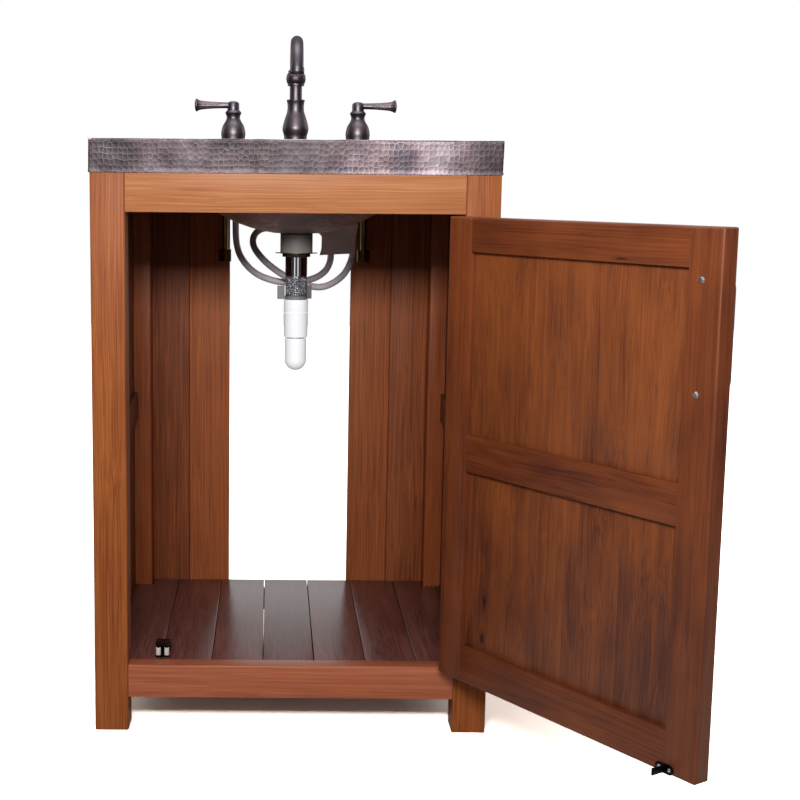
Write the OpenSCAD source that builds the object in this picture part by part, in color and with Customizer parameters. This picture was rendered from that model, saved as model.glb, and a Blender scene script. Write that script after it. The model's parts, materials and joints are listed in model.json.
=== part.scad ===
// Bathroom vanity unit: a framed pine cabinet with one door, a hammered copper top with an oval bowl,
// a three-hole tap with its hoses, and the bowl's waste. The origin is the rear left foot's outer corner
// on the floor. +X runs to the right along the wall, +Y goes into the wall and +Z goes up.

/* [Cabinet frame] */
// Width over the legs
cabinet_w = 610; // [580:1:760]
// Depth from the front of the legs to the wall
cabinet_d = 508; // [500:1:600]
// Height of the wooden frame
frame_h = 863; // [820:1:920]
// Side of each square leg
leg = 52; // [48:1:58]
// Radius on the long edges of the legs
leg_round = 3; // [1:0.5:5]
// Height of the open gap under the bottom rails
toe_h = 54; // [40:1:80]
// Height of the top rails
top_rail_h = 58; // [48:1:70]
// Height of the bottom rails
bottom_rail_h = 52; // [48:1:70]
// Thickness of the front rails
front_rail_t = 30; // [24:1:32]
// Thickness of the side and rear rails
rail_t = 24; // [20:1:28]
// How far the side rails sit in from the outer faces of the legs
side_inset = 4; // [2:1:8]
// Height of the middle side rails
side_mid_h = 50; // [40:1:70]
// Height of the middle side rails' lower edges above the floor
side_mid_z = 418; // [380:1:460]
// Length of the tenons on the rails
tenon_l = 22; // [14:1:23]
// Thickness of the tenons
tenon_t = 10; // [8:1:12]
// Shoulder above and below each tenon
tenon_shoulder = 8; // [5:1:12]

/* [Boards and panels] */
// Thickness of the side panels
side_panel_t = 12; // [9:1:14]
// Depth of the grooves that hold the panels
groove_d = 8; // [5:1:10]
// Thickness of the floor boards
floor_t = 15; // [12:1:20]
// Width of a whole floor board with its seam
floor_board_w = 80.5; // [70:0.5:100]
// Width of the first floor board on the left, cut to fit
floor_first_w = 72.5; // [50:0.5:80]
// How far the floor lies below the top of the bottom rails
floor_drop = 1; // [0:0.5:4]
// Side of the square bearer under the front ends of the floor boards
bearer = 20; // [16:1:26]
// Thickness of the back boards
back_t = 15; // [12:1:18]
// Width of the outer back boards
back_outer_w = 68; // [50:1:80]
// Width of the open strip in the back for the pipes
back_gap_w = 222; // [180:1:280]
// Open seam between neighbouring boards
seam = 1.2; // [0.6:0.2:2]

/* [Door] */
// Thickness of the door
door_t = 27; // [24:1:29]
// Angle at which the door stands open at rest
door_open = 123; // [100:1:140]
// Width of the two door stiles
stile_w = 51; // [46:1:60]
// Height of the top door rail
door_top_h = 50; // [45:1:60]
// Height of the middle door rail
door_mid_h = 54; // [45:1:60]
// Height of the middle door rail's lower edge above the floor
door_mid_z = 431; // [400:1:470]
// Height of the bottom door rail
door_bottom_h = 57; // [50:1:70]
// Thickness of the door panels
door_panel_t = 12; // [9:1:14]
// How far the panels lie below the inner face of the door
door_recess = 8; // [6:1:9]
// Radius on the outer edges of the door
door_round = 4; // [2:0.5:6]
// Gap between the door and the frame on the hinge side
hinge_gap = 2.4; // [2.4:0.1:3]
// Gap between the door and the frame on the other three sides
door_gap = 2; // [1.5:0.1:3]
// Distance between the two screws of the pull
pull_span = 139.7; // [96:0.1:160]
// Distance from the top of the door down to the middle of the pull
pull_z = 134; // [110:1:200]
// Distance from the free edge of the door to the pull
pull_in = 31; // [24:1:34]
// Diameter of the pull's bar
pull_bar_d = 10; // [8:0.5:12]
// How far the pull stands out from the door
pull_reach = 34; // [28:1:45]

/* [Hinges and catch] */
// Height of each butt hinge
hinge_h = 64; // [50:1:76]
// Distance from the door's ends to its hinges
hinge_in = 90; // [60:1:140]
// Thickness of a hinge leaf
leaf_t = 2; // [1.6:0.1:2.2]
// Width of a hinge leaf from the pin's axis
leaf_w = 25; // [20:1:27]
// Diameter of the hinge barrel
barrel_d = 9; // [8:0.5:9]
// Diameter of the hinge pin
hinge_pin_d = 5; // [4:0.5:5]
// Place of the roller catch, measured from the left end of the doorway
catch_x = 50.4; // [40:0.1:90]
// Diameter of the catch rollers
roller_d = 8; // [6:0.5:9]
// Height of the catch rollers
roller_h = 12; // [8:1:14]
// Clear gap between the two rollers
roller_gap = 5.4; // [5:0.2:6]
// Length of each roller arm from its pin to its roller
arm_l = 24; // [20:1:30]

/* [Copper top and bowl] */
// Height of the copper apron
apron_h = 50; // [44:1:60]
// How far the top stands out over the front and the sides
top_overhang = 2; // [2:0.5:10]
// Thickness of the copper sheet
copper_t = 1.5; // [1:0.1:1.6]
// Thickness of the top's wooden core
core_t = 18; // [15:1:20]
// Width of the strips under the core's rim
strip_w = 30; // [24:1:32]
// How far the bowl and the tap sit right of the cabinet's centre
sink_offset = 6; // [-10:1:10]
// How far the middle of the bowl lies behind the line midway between the front and the tap
bowl_y = 0; // [-6:1:6]
// Half width of the bowl
bowl_a = 200; // [170:1:205]
// Half depth of the bowl from front to back
bowl_b = 150; // [130:1:155]
// Depth of the bowl below the top
bowl_depth = 145; // [120:1:160]
// Thickness of the bowl's wall
bowl_t = 2; // [1.5:0.1:2.4]
// Width of the bowl's flange under the copper sheet
bowl_flange = 14; // [10:1:18]

/* [Waste] */
// Diameter of the waste's chrome tube
waste_d = 36; // [32:1:38]
// Wall of the waste's tube
waste_wall = 3; // [2:0.5:4]
// Diameter of the waste's flange in the bowl
waste_flange_d = 54; // [50:1:56]
// Length of the chrome tube below the bowl
waste_l = 70; // [60:1:80]
// Diameter of the white spacer under the bowl
spacer_d = 53; // [48:1:56]
// Height of the white spacer
spacer_h = 29.5; // [24:0.5:36]
// Diameter of the tailpiece inside its couplings
tail_d = 29.6; // [24:0.1:30]
// Length of the knurled coupling
coupling_l = 39; // [30:1:46]
// Length of the pale sleeve below the coupling
sleeve_l = 21; // [16:1:30]
// Length of the white collar below the sleeve
collar_l = 40; // [30:1:50]
// Length of the round-ended cap
cap_l = 54; // [46:1:60]
// How far the stopper moves
stopper_travel = 8; // [5:1:10]

/* [Tap] */
// Distance from the wall to the line of the tap
tap_y = 58; // [53:1:63]
// Distance from the spout to each handle
handle_span = 110.5; // [95:0.5:130]
// Diameter of the threaded shanks through the top
shank_d = 26; // [22:1:28]
// Clearance of a shank in its hole
shank_play = 3; // [1:0.5:4]
// Height of the spout's bell above the top
bell_h = 81; // [70:1:90]
// Height of the handle bases above the top
base_h = 62; // [54:1:70]
// Radius of the spout's bend
spout_bend = 60; // [50:1:70]
// Diameter of the spout's tube
spout_d = 21.5; // [20:0.5:26]
// Height of the middle of the spout's bend above the top
spout_rise = 115; // [110:0.5:125]
// Angle of the spout's bend
spout_arc = 172; // [150:1:178]
// Length of a handle lever from the middle of its hub
lever_l = 68.5; // [60:0.5:80]
// Diameter of a handle hub
hub_d = 21; // [18:1:24]
// Height of the lever's axis above the top
lever_z = 72; // [70:0.5:76]
// Depth of the valve feet below the top
valve_foot_z = 101; // [95:1:110]
// Distance from the valve's axis outwards to its inlet tail
tail_out = 14; // [12:1:18]
// Distance from the valve's axis inwards to its hose port
port_in = 5; // [3:1:8]
// Width across the flats of the inlet nuts
inlet_af = 22; // [20:1:24]
// Bore of the inlet nuts
inlet_bore = 14.3; // [12:0.1:15]
// Diameter of the braided hoses
hose_d = 12; // [10:0.5:12]

/* [Hidden] */
$fn = 48;

// Colours of the materials
pine = "#a4552e";
pine_dark = "#6b3a2b";
copper = "#6e5a5c";
bronze = "#33292a";
brass = "#9a7b3c";
chrome = "#b8bcc2";
white_plastic = "#e6e6e4";
black = "#26262a";
steel_braid = "#77747a";

// Play of a tenon or a panel edge in its slot, between parts that move past each other, and round the bowl
slot_play = 0.15;
run_play = 0.3;
bowl_play = 1.2;
// How far a cutting solid runs past what it cuts, and how far two lengths of one piece run into each other
past = 1;
weld = 0.02;

// Driven places of the frame
front_y = -cabinet_d;
inner_l = leg;
inner_r = cabinet_w - leg;
rail_top_z = frame_h - top_rail_h;
sill_z = toe_h + bottom_rail_h;
floor_z = sill_z - floor_drop;
side_rail_in = side_inset + rail_t;
rear_rail_y = -back_t - rail_t;
rear_bottom_h = floor_z - floor_t - toe_h;
counter_z = frame_h + apron_h;
core_z = counter_z - copper_t - core_t;
middle_x = cabinet_w / 2 + sink_offset;
tap_line_y = -tap_y;
waste_y = (front_y + tap_line_y) / 2 + bowl_y;

// Driven places of the door, drawn closed
door_l = inner_l + door_gap;
door_r = inner_r - hinge_gap;
door_z0 = sill_z + door_gap;
door_z1 = rail_top_z - door_gap;
door_in_y = front_y + door_t;
pin_x = door_r + hinge_gap / 2;
barrel_off = 0.5;
pin_y = front_y - barrel_d / 2 - barrel_off;
pull_x = door_l + pull_in;
pull_mid_z = door_z1 - pull_z;
panel_y1 = door_in_y - door_recess;
panel_y0 = panel_y1 - door_panel_t;

// Draws children that were modelled on the closed door where the open door holds them
module on_open_door() {
    translate([pin_x, pin_y, 0]) rotate([0, 0, door_open]) translate([-pin_x, -pin_y, 0]) children();
}

module box(from, to) {
    translate(from) cube(to - from);
}

module tube(r_out, r_in, z0, z1) {
    translate([0, 0, z0]) difference() {
        cylinder(r = r_out, h = z1 - z0);
        translate([0, 0, -1]) cylinder(r = r_in, h = z1 - z0 + 2);
    }
}

// A rectangle with round corners, made of squares and circles so that its edges stay true arcs
module round_rect(w, d, r) {
    translate([r, 0]) square([w - 2 * r, d]);
    translate([0, r]) square([w, d - 2 * r]);
    for (x = [r, w - r], y = [r, d - r]) translate([x, y]) circle(r = r);
}

// A smooth line through a few points, for turned profiles
function curve_point(p0, p1, p2, p3, t) = 0.5 * ((2 * p1) + (p2 - p0) * t
    + (2 * p0 - 5 * p1 + 4 * p2 - p3) * t * t + (3 * p1 - p0 - 3 * p2 + p3) * t * t * t);
function smooth_line(p, steps) = [
    for (i = [0 : len(p) - 2], s = [0 : steps - 1])
        curve_point(p[max(i - 1, 0)], p[i], p[i + 1], p[min(i + 2, len(p) - 1)], s / steps),
    p[len(p) - 1]
];

// Cabinet frame

// Tenons of a rail that runs across between the legs; play widens them into mortises
module tenons_across(y, z, t, h, play = 0) {
    for (x = [inner_l - tenon_l - play, inner_r])
        box([x, y + (t - tenon_t) / 2 - play, z + tenon_shoulder - play],
            [x + tenon_l + play, y + (t + tenon_t) / 2 + play, z + h - tenon_shoulder + play]);
}

module rail_across(y, z, t, h) {
    box([inner_l, y, z], [inner_r, y + t, z + h]);
    tenons_across(y, z, t, h);
}

// Tenons of a rail that runs from front to back on one side
module tenons_deep(x, z, h, play = 0) {
    for (y = [front_y + leg - tenon_l - play, -leg])
        box([x + (rail_t - tenon_t) / 2 - play, y, z + tenon_shoulder - play],
            [x + (rail_t + tenon_t) / 2 + play, y + tenon_l + play, z + h - tenon_shoulder + play]);
}

module rail_deep(x, z, h) {
    box([x, front_y + leg, z], [x + rail_t, -leg, z + h]);
    tenons_deep(x, z, h);
}

side_rails = [[toe_h, bottom_rail_h], [side_mid_z, side_mid_h], [rail_top_z, top_rail_h]];
side_rail_x = [side_inset, cabinet_w - side_inset - rail_t];
side_panel_x = [side_inset + 5, cabinet_w - side_inset - 5 - side_panel_t];

module side_panel(side, z0, z1, play = 0) {
    x = side_panel_x[side];
    box([x - play, front_y + leg - groove_d - play, z0 - groove_d - play],
        [x + side_panel_t + play, -leg + groove_d + play, z1 + groove_d + play]);
}

module side_panels(side, play = 0) {
    side_panel(side, toe_h + bottom_rail_h, side_mid_z, play);
    side_panel(side, side_mid_z + side_mid_h, rail_top_z, play);
}

module mortises() {
    tenons_across(front_y, toe_h, front_rail_t, bottom_rail_h, slot_play);
    tenons_across(front_y, rail_top_z, front_rail_t, top_rail_h, slot_play);
    tenons_across(rear_rail_y, toe_h, rail_t, rear_bottom_h, slot_play);
    tenons_across(rear_rail_y, rail_top_z, rail_t, top_rail_h, slot_play);
    for (side = [0, 1]) {
        for (rail = side_rails) tenons_deep(side_rail_x[side], rail[0], rail[1], slot_play);
        side_panels(side, slot_play);
    }
}

module leg_post(x, y) {
    color(pine) difference() {
        translate([x, y, 0]) linear_extrude(frame_h) round_rect(leg, leg, leg_round);
        mortises();
        hinge_recesses();
    }
}

module leg_front_left() { leg_post(0, front_y); }
module leg_front_right() { leg_post(inner_r, front_y); }
module leg_rear_left() { leg_post(0, -leg); }
module leg_rear_right() { leg_post(inner_r, -leg); }

module front_top_rail() { color(pine) rail_across(front_y, rail_top_z, front_rail_t, top_rail_h); }
module front_bottom_rail() { color(pine) rail_across(front_y, toe_h, front_rail_t, bottom_rail_h); }
module rear_top_rail() { color(pine) rail_across(rear_rail_y, rail_top_z, rail_t, top_rail_h); }
module rear_bottom_rail() { color(pine) rail_across(rear_rail_y, toe_h, rail_t, rear_bottom_h); }

module side_rails(side) {
    color(pine) difference() {
        for (rail = side_rails) rail_deep(side_rail_x[side], rail[0], rail[1]);
        side_panels(side, slot_play);
    }
}
module side_rails_left() { side_rails(0); }
module side_rails_right() { side_rails(1); }
module side_panels_left() { color(pine_dark) side_panels(0); }
module side_panels_right() { color(pine_dark) side_panels(1); }

// Boards

tongue_l = 5;
tongue_t = 5;
module tongue(x, play = 0) {
    box([x - play, -(back_t + tongue_t) / 2 - play, toe_h - play],
        [x + tongue_l + play, -(back_t - tongue_t) / 2 + play, frame_h + play]);
}

// Two tongued boards from the leg to the open strip, drawn for the left side
module back_boards_one_side() {
    joint_x = inner_l + back_outer_w;
    strip_x = (cabinet_w - back_gap_w) / 2;
    box([inner_l, -back_t, toe_h], [joint_x - seam / 2, 0, frame_h]);
    tongue(joint_x - seam / 2);
    difference() {
        box([joint_x + seam / 2, -back_t, toe_h], [strip_x, 0, frame_h]);
        tongue(joint_x - seam / 2, slot_play);
    }
}
module back_boards_left() { color(pine_dark) back_boards_one_side(); }
module back_boards_right() {
    color(pine_dark) translate([cabinet_w, 0, 0]) mirror([1, 0, 0]) back_boards_one_side();
}

floor_count = ceil((cabinet_w - 2 * side_rail_in - floor_first_w) / floor_board_w) + 1;
function floor_seam(i) = i == 0 ? side_rail_in
    : min(side_rail_in + floor_first_w + (i - 1) * floor_board_w, cabinet_w - side_rail_in);

module floor_boards() {
    y0 = front_y + front_rail_t;
    color(pine_dark) difference() {
        for (i = [0 : floor_count - 1])
            box([floor_seam(i) + (i == 0 ? 0 : seam / 2), y0, floor_z - floor_t],
                [floor_seam(i + 1) - (i == floor_count - 1 ? 0 : seam / 2), -back_t, floor_z]);
        for (x = [0, cabinet_w], y = [front_y, 0])
            box([x - leg - run_play, y - leg - run_play, floor_z - floor_t - past],
                [x + leg + run_play, y + leg + run_play, floor_z + past]);
    }
}

module floor_bearer() {
    y0 = front_y + front_rail_t;
    z1 = floor_z - floor_t;
    color(pine_dark) box([inner_l, y0, z1 - bearer], [inner_r, y0 + bearer, z1]);
}

module top_cleats() {
    color(pine_dark) for (x = [side_rail_in, cabinet_w - side_rail_in - bearer])
        box([x, front_y + leg, frame_h - bearer], [x + bearer, -leg, frame_h]);
}

// Copper top and bowl

module oval(a, b, steps = 60) {
    polygon([for (i = [0 : steps - 1]) [a * cos(i * 360 / steps), b * sin(i * 360 / steps)]]);
}

module oval_hole(grow, z0, z1) {
    translate([middle_x, waste_y, z0]) linear_extrude(z1 - z0) oval(bowl_a + grow, bowl_b + grow);
}

module tap_holes() {
    for (x = [-handle_span, 0, handle_span])
        translate([middle_x + x, tap_line_y, frame_h])
            cylinder(d = shank_d + 2 * shank_play, h = apron_h + past);
}

module top_core() {
    x0 = copper_t - top_overhang;
    y0 = front_y + copper_t - top_overhang;
    y1 = -copper_t;
    color(pine_dark) difference() {
        box([x0, y0, frame_h], [cabinet_w - x0, y1, counter_z - copper_t]);
        box([x0 + strip_w, y0 + strip_w, frame_h - past], [cabinet_w - x0 - strip_w, y1 - strip_w, core_z]);
        oval_hole(bowl_play, frame_h, counter_z);
        oval_hole(bowl_flange + slot_play, counter_z - copper_t - bowl_t, counter_z);
        tap_holes();
    }
}

copper_round = 3;
module copper_top() {
    w = cabinet_w + 2 * top_overhang;
    d = cabinet_d + top_overhang;
    color(copper) difference() {
        translate([-top_overhang, front_y - top_overhang, frame_h])
            linear_extrude(apron_h) round_rect(w, d, copper_round);
        box([copper_t - top_overhang, front_y + copper_t - top_overhang, frame_h - past],
            [cabinet_w + top_overhang - copper_t, -copper_t, counter_z - copper_t]);
        oval_hole(-bowl_t, frame_h, counter_z + past);
        tap_holes();
    }
}

// The bowl is part of an ellipsoid with a flat seat for the waste
seat_r = 38;
bowl_steps = 8;
function bowl_side(a, depth, z_top) = let (from = asin(seat_r / a)) [
    for (i = [0 : bowl_steps]) let (q = from + i * (90 - from) / bowl_steps)
        [a * sin(q), z_top - depth * cos(q) / cos(from)]
];

module sink_bowl() {
    top = counter_z - copper_t;
    outer = bowl_side(bowl_a, top - bowl_out_z, top);
    inner = bowl_side(bowl_a - bowl_t, top - bowl_in_z, top);
    wall = concat(outer, [for (i = [bowl_steps : -1 : 0]) inner[i]]);
    color(copper) difference() {
        union() {
            translate([middle_x, waste_y, 0]) scale([1, bowl_b / bowl_a, 1])
                rotate_extrude($fn = 60) polygon(concat([[0, bowl_out_z]], wall, [[0, bowl_in_z]]));
            difference() {
                oval_hole(bowl_flange, top - bowl_t, top);
                oval_hole(-bowl_t / 2, top - bowl_t - past, top + past);
            }
        }
        at_waste() translate([0, 0, bowl_out_z - past])
            cylinder(r = waste_neck_r + run_play, h = bowl_t + 2 * past);
    }
}

// Waste, from the bowl down to the cap

bowl_out_z = counter_z - bowl_depth;
bowl_in_z = bowl_out_z + bowl_t;
waste_r = waste_d / 2;
waste_bore = waste_r - waste_wall;
waste_neck_r = waste_r + 4;
gasket_h = 2.5;
spacer_z = bowl_out_z - gasket_h - spacer_h;
washer_h = 1.4;
waste_nut_h = 5.6;
waste_end_z = bowl_out_z - waste_l;
flange_h = 3.5;
flange_bevel = 3;
flange_recess = 2.5;
stopper_r = 18.5;
stopper_dome = 4;
stopper_rim = 1.5;
stem_r = 4;
guide_h = 6;
guide_wall = 3;

module at_waste() {
    translate([middle_x, waste_y, 0]) children();
}

module waste_body() {
    flange_r = waste_flange_d / 2;
    color(chrome) at_waste() {
        difference() {
            union() {
                translate([0, 0, bowl_in_z])
                    cylinder(r1 = flange_r, r2 = flange_r - flange_bevel, h = flange_h);
                translate([0, 0, bowl_out_z]) cylinder(r = waste_neck_r, h = bowl_t);
                translate([0, 0, waste_end_z]) cylinder(r = waste_r, h = waste_l);
            }
            translate([0, 0, waste_end_z - past])
                cylinder(r = waste_bore, h = waste_l + 2 * bowl_t + flange_h);
            translate([0, 0, bowl_in_z + flange_h - flange_recess])
                cylinder(r = stopper_r + run_play, h = flange_h);
        }
        difference() {
            union() {
                translate([0, 0, spacer_z]) cylinder(r = stem_r + guide_wall, h = guide_h);
                for (turn = [0, 120, 240]) rotate([0, 0, turn]) translate([0, -guide_wall / 2, spacer_z])
                    cube([waste_bore + 0.5, guide_wall, guide_h]);
            }
            translate([0, 0, spacer_z - past]) cylinder(r = stem_r + run_play, h = guide_h + 2 * past);
        }
    }
}

module waste_stopper() {
    under_z = bowl_in_z + flange_h - flange_recess + run_play + stopper_travel;
    stem_z = spacer_z - guide_h / 2 - stopper_travel / 2;
    rim_z = under_z + stopper_rim;
    color(chrome) at_waste() {
        rotate_extrude() polygon(concat([[0, under_z], [stopper_r - 1, under_z], [stopper_r, rim_z]],
            [for (q = [0 : 15 : 90]) [stopper_r * cos(q), rim_z + stopper_dome * sin(q)]]));
        translate([0, 0, stem_z]) cylinder(r = stem_r, h = under_z - stem_z + past);
    }
}

module waste_gasket() {
    color(black) at_waste() tube(spacer_d / 2, waste_r + run_play, bowl_out_z - gasket_h, bowl_out_z);
}

module waste_spacer() {
    color(white_plastic) at_waste()
        tube(spacer_d / 2, waste_r + run_play, spacer_z, bowl_out_z - gasket_h);
}

ear_reach = 34.5;
ear_root_w = 18;
ear_tip_w = 3;
module eared_washer() {
    root = spacer_d / 2 - 4;
    color(chrome) at_waste() difference() {
        translate([0, 0, spacer_z - washer_h]) linear_extrude(washer_h) {
            circle(r = spacer_d / 2 + 1);
            for (turn = [0, 180]) rotate(turn)
                polygon([[root, -ear_root_w / 2], [ear_reach, -ear_tip_w / 2], [ear_reach, ear_tip_w / 2],
                    [root, ear_root_w / 2]]);
        }
        translate([0, 0, spacer_z - washer_h - past])
            cylinder(r = waste_r + run_play, h = washer_h + 2 * past);
    }
}

module waste_nut() {
    z = spacer_z - washer_h - waste_nut_h;
    color(black) at_waste() difference() {
        translate([0, 0, z]) cylinder(r = waste_r + 5, h = waste_nut_h, $fn = 8);
        translate([0, 0, z - past]) cylinder(r = waste_r + run_play, h = waste_nut_h + 2 * past);
    }
}

coupling_end_z = waste_end_z - coupling_l;
clip_h = 6;
sleeve_z = coupling_end_z - sleeve_l;
collar_rim_h = 3;
collar_rim_proud = 1;
collar_z = sleeve_z - collar_rim_proud - collar_l;
cap_gap = 2;
cap_z = collar_z - cap_gap - cap_l;
cap_floor = 23;
tail_r = tail_d / 2;
tail_wall = 2;
spigot_l = 12;
knurl_count = 36;
knurl_w = 1.6;
knurl_margin = 3;

// One knurled tube: a spigot up into the waste, the grip, and the long tail down to the cap
module tailpiece() {
    tail_end = cap_z + cap_floor + 1;
    grip_z = coupling_end_z + clip_h;
    grip_r = waste_r - 0.6;
    color(chrome) at_waste() difference() {
        union() {
            translate([0, 0, tail_end]) cylinder(r = tail_r, h = waste_end_z + spigot_l - tail_end);
            difference() {
                translate([0, 0, grip_z]) cylinder(r = grip_r, h = waste_end_z - grip_z);
                for (turn = [0 : knurl_count - 1]) rotate([0, 0, turn * 360 / knurl_count])
                    translate([grip_r + 0.4, 0, grip_z + knurl_margin]) rotate([0, 0, 45])
                        translate([-knurl_w / 2, -knurl_w / 2, 0])
                            cube([knurl_w, knurl_w, waste_end_z - grip_z - 2 * knurl_margin]);
            }
        }
        translate([0, 0, tail_end - past])
            cylinder(r = tail_r - tail_wall, h = waste_end_z + spigot_l - tail_end + 2 * past);
    }
}

// A grey plastic ring with two wings that stand up beside and behind the knurled grip
wing_turns = [172, 35];
wing_reach = 31;
wing_t = 3.2;
wing_h = 22;
module tail_clip() {
    ring_top = coupling_end_z + clip_h - 0.2;
    color("#8e8c90") at_waste() difference() {
        union() {
            translate([0, 0, coupling_end_z]) cylinder(r = waste_r, h = ring_top - coupling_end_z);
            for (turn = wing_turns) rotate([0, 0, turn]) {
                box([waste_r + 1, -wing_t / 2, coupling_end_z],
                    [wing_reach, wing_t / 2, coupling_end_z + wing_h]);
                box([waste_r - 2, -wing_t / 2, coupling_end_z], [waste_r + 2, wing_t / 2, ring_top]);
            }
        }
        translate([0, 0, coupling_end_z - past]) cylinder(r = tail_r + run_play, h = clip_h + 2 * past);
    }
}

module slip_sleeve() {
    color("#dfe3e8") at_waste() tube(waste_r + 2, tail_r + run_play, sleeve_z, coupling_end_z);
}

// The collar's rim stands a little proud of its top and carries two lugs
lug_w = 8;
lug_reach = 5;
module tail_collar() {
    rim_z = collar_z + collar_l + collar_rim_proud - collar_rim_h;
    color(white_plastic) at_waste() difference() {
        union() {
            translate([0, 0, collar_z]) cylinder(r = waste_r + 2, h = collar_l);
            translate([0, 0, rim_z]) linear_extrude(collar_rim_h) {
                circle(r = waste_r + 2.6);
                for (turn = [0, 180]) rotate(turn)
                    translate([0, -lug_w / 2]) square([waste_r + lug_reach, lug_w]);
            }
        }
        translate([0, 0, collar_z - past]) cylinder(r = tail_r + run_play, h = collar_l + 2 * collar_rim_h);
    }
}

module tail_cap() {
    r = waste_r;
    color(white_plastic) at_waste() rotate_extrude() difference() {
        union() {
            translate([0, cap_z + r]) intersection() {
                circle(r = r);
                translate([0, -r]) square([r, r]);
            }
            translate([0, cap_z + r]) square([r, cap_l - r]);
        }
        translate([0, cap_z + cap_floor]) square([tail_r + run_play, cap_l]);
    }
}

// Tap

// Turned outlines: radius, and height as a share of the whole turning
foot_r = 24;
bell_points = [[foot_r, 0.04], [20.6, 0.11], [20.3, 0.22], [22.6, 0.32], [22.9, 0.41], [19.4, 0.58],
    [15.6, 0.72], [14.5, 0.81], [14.7, 0.91], [16, 0.98]];
base_points = [[foot_r, 0.05], [21, 0.13], [21, 0.24], [21.5, 0.37], [19, 0.55], [14.2, 0.685], [12, 0.775],
    [12.5, 0.855], [14.6, 0.93]];
bell_bore = 18.6;
swivel_z = 20;
shank_up = 15;
shank_below = 24;
water_way = 12;

function stretched(points, h) = [for (p = points) [p[0], p[1] * h]];

// A turning that stands on the copper top, with a flat rim of radius rim_r
module turned(points, h, rim_r) {
    translate([0, 0, counter_z]) rotate_extrude() polygon(concat([[0, 0], [foot_r, 0]],
        smooth_line(stretched(points, h), 4), [[rim_r, h], [0, h]]));
}

module at_tap(x = 0) {
    translate([middle_x + x, tap_line_y, 0]) children();
}

module spout_base() {
    color(bronze) at_tap() difference() {
        union() {
            turned(bell_points, bell_h, 16);
            translate([0, 0, core_z - shank_below])
                cylinder(d = shank_d, h = counter_z - core_z + shank_below + past);
        }
        translate([0, 0, counter_z + swivel_z]) cylinder(d = bell_bore, h = bell_h);
        translate([0, 0, core_z - shank_below - past]) cylinder(d = water_way, h = bell_h);
    }
}

ball_d = 34.5;
ball_up = 2.5;
neck_d = 21.6;
spout_wall = 3;
tip_l = 8;
tip_proud = 1.2;
collar_r = 14.6;
module spout() {
    bend_z = counter_z + spout_rise;
    ball_z = bend_z + ball_up;
    stem_z = counter_z + swivel_z + run_play;
    seat_z = counter_z + bell_h + run_play;
    stem_r = bell_bore / 2 - run_play;
    color(bronze) at_tap() {
        translate([0, -spout_bend, bend_z]) rotate([90, 0, 90]) rotate_extrude(angle = spout_arc)
            translate([spout_bend, 0]) difference() {
                circle(d = spout_d);
                circle(d = spout_d - 2 * spout_wall);
            }
        translate([0, -spout_bend, bend_z]) rotate([spout_arc, 0, 0]) translate([0, spout_bend, -tip_l / 2])
            tube(spout_d / 2 + tip_proud, spout_d / 2 - spout_wall, 0, tip_l);
        rotate_extrude() polygon(concat(
            [[0, stem_z], [stem_r, stem_z], [stem_r, seat_z], [neck_d / 2, seat_z],
             [neck_d / 2, ball_z - 13], [collar_r, ball_z - 12.5], [collar_r, ball_z - 8.5]],
            [for (q = [-30 : 10 : 40]) [ball_d / 2 * cos(q), ball_z + ball_d / 2 * sin(q)]],
            [[14, ball_z + 12.8], [12.6, ball_z + 14.6], [0, ball_z + 14.6]]));
    }
}

cartridge_r = 9.5;
base_top_t = 12;
cartridge_play = 2;
module handle_bases() {
    color(bronze) for (x = [-handle_span, handle_span]) at_tap(x) difference() {
        turned(base_points, base_h, 11);
        translate([0, 0, counter_z - past]) cylinder(d = shank_d + 2 * run_play, h = shank_up + 2 * past);
        translate([0, 0, counter_z]) cylinder(r = cartridge_r + run_play, h = base_h - base_top_t);
        translate([0, 0, counter_z]) cylinder(r = stem_r + run_play, h = base_h + past);
    }
}

// A lever handle: a hub on the valve's stem, and a rod that opens like a trumpet; side is -1 or 1
hub_h = 17;
hub_dome = 3.5;
stem_up = 11;
rod_r = 5;
mouth_r = 11.1;
mouth_l = 4;
mouth_lip = 1.2;
// The trumpet from the hub to its mouth: distance back from the lever's end, and how much fatter than the rod
trumpet = [[45.5, 0.5], [26.5, 1.5], [14.5, 2.6], [8.5, 3.9]];
module handle(side) {
    hub_z = counter_z + base_h + run_play;
    dome_z = hub_z + hub_h - hub_dome;
    lip_z = lever_l - mouth_l + mouth_lip;
    color(bronze) at_tap(side * handle_span) difference() {
        union() {
            rotate_extrude() polygon(concat([[0, hub_z], [hub_d / 2, hub_z], [hub_d / 2, dome_z - 0.5]],
                [for (q = [0 : 15 : 90]) [(hub_d / 2 - 1) * cos(q), dome_z + hub_dome * sin(q)]]));
            translate([0, 0, counter_z + lever_z]) rotate([0, side * 90, 0]) rotate_extrude()
                polygon(concat([[0, 0]], smooth_line(concat([[rod_r, 0]],
                    [for (p = trumpet) [rod_r + p[1], lever_l - p[0]]], [[mouth_r, lever_l - mouth_l]]), 3),
                    [for (q = [0 : 18 : 90]) [mouth_r * cos(q), lip_z + (mouth_l - mouth_lip) * sin(q)]]));
        }
        translate([0, 0, hub_z - past]) cylinder(r = stem_r + run_play, h = stem_up + 2 * past);
    }
}
module handle_left() { handle(-1); }
module handle_right() { handle(1); }

foot_h = 30;
foot_w = 22;
foot_margin = 9;
foot_z = counter_z - valve_foot_z;
tail_l = 82;
tail_end_z = foot_z - tail_l;
tail_pipe_r = 5.5;
inlet_nut_h = 22;
inlet_bore_l = 14;
ferrule_h = 12;
ferrule_r = 8;
port_h = 8;
port_r = 6.5;

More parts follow.
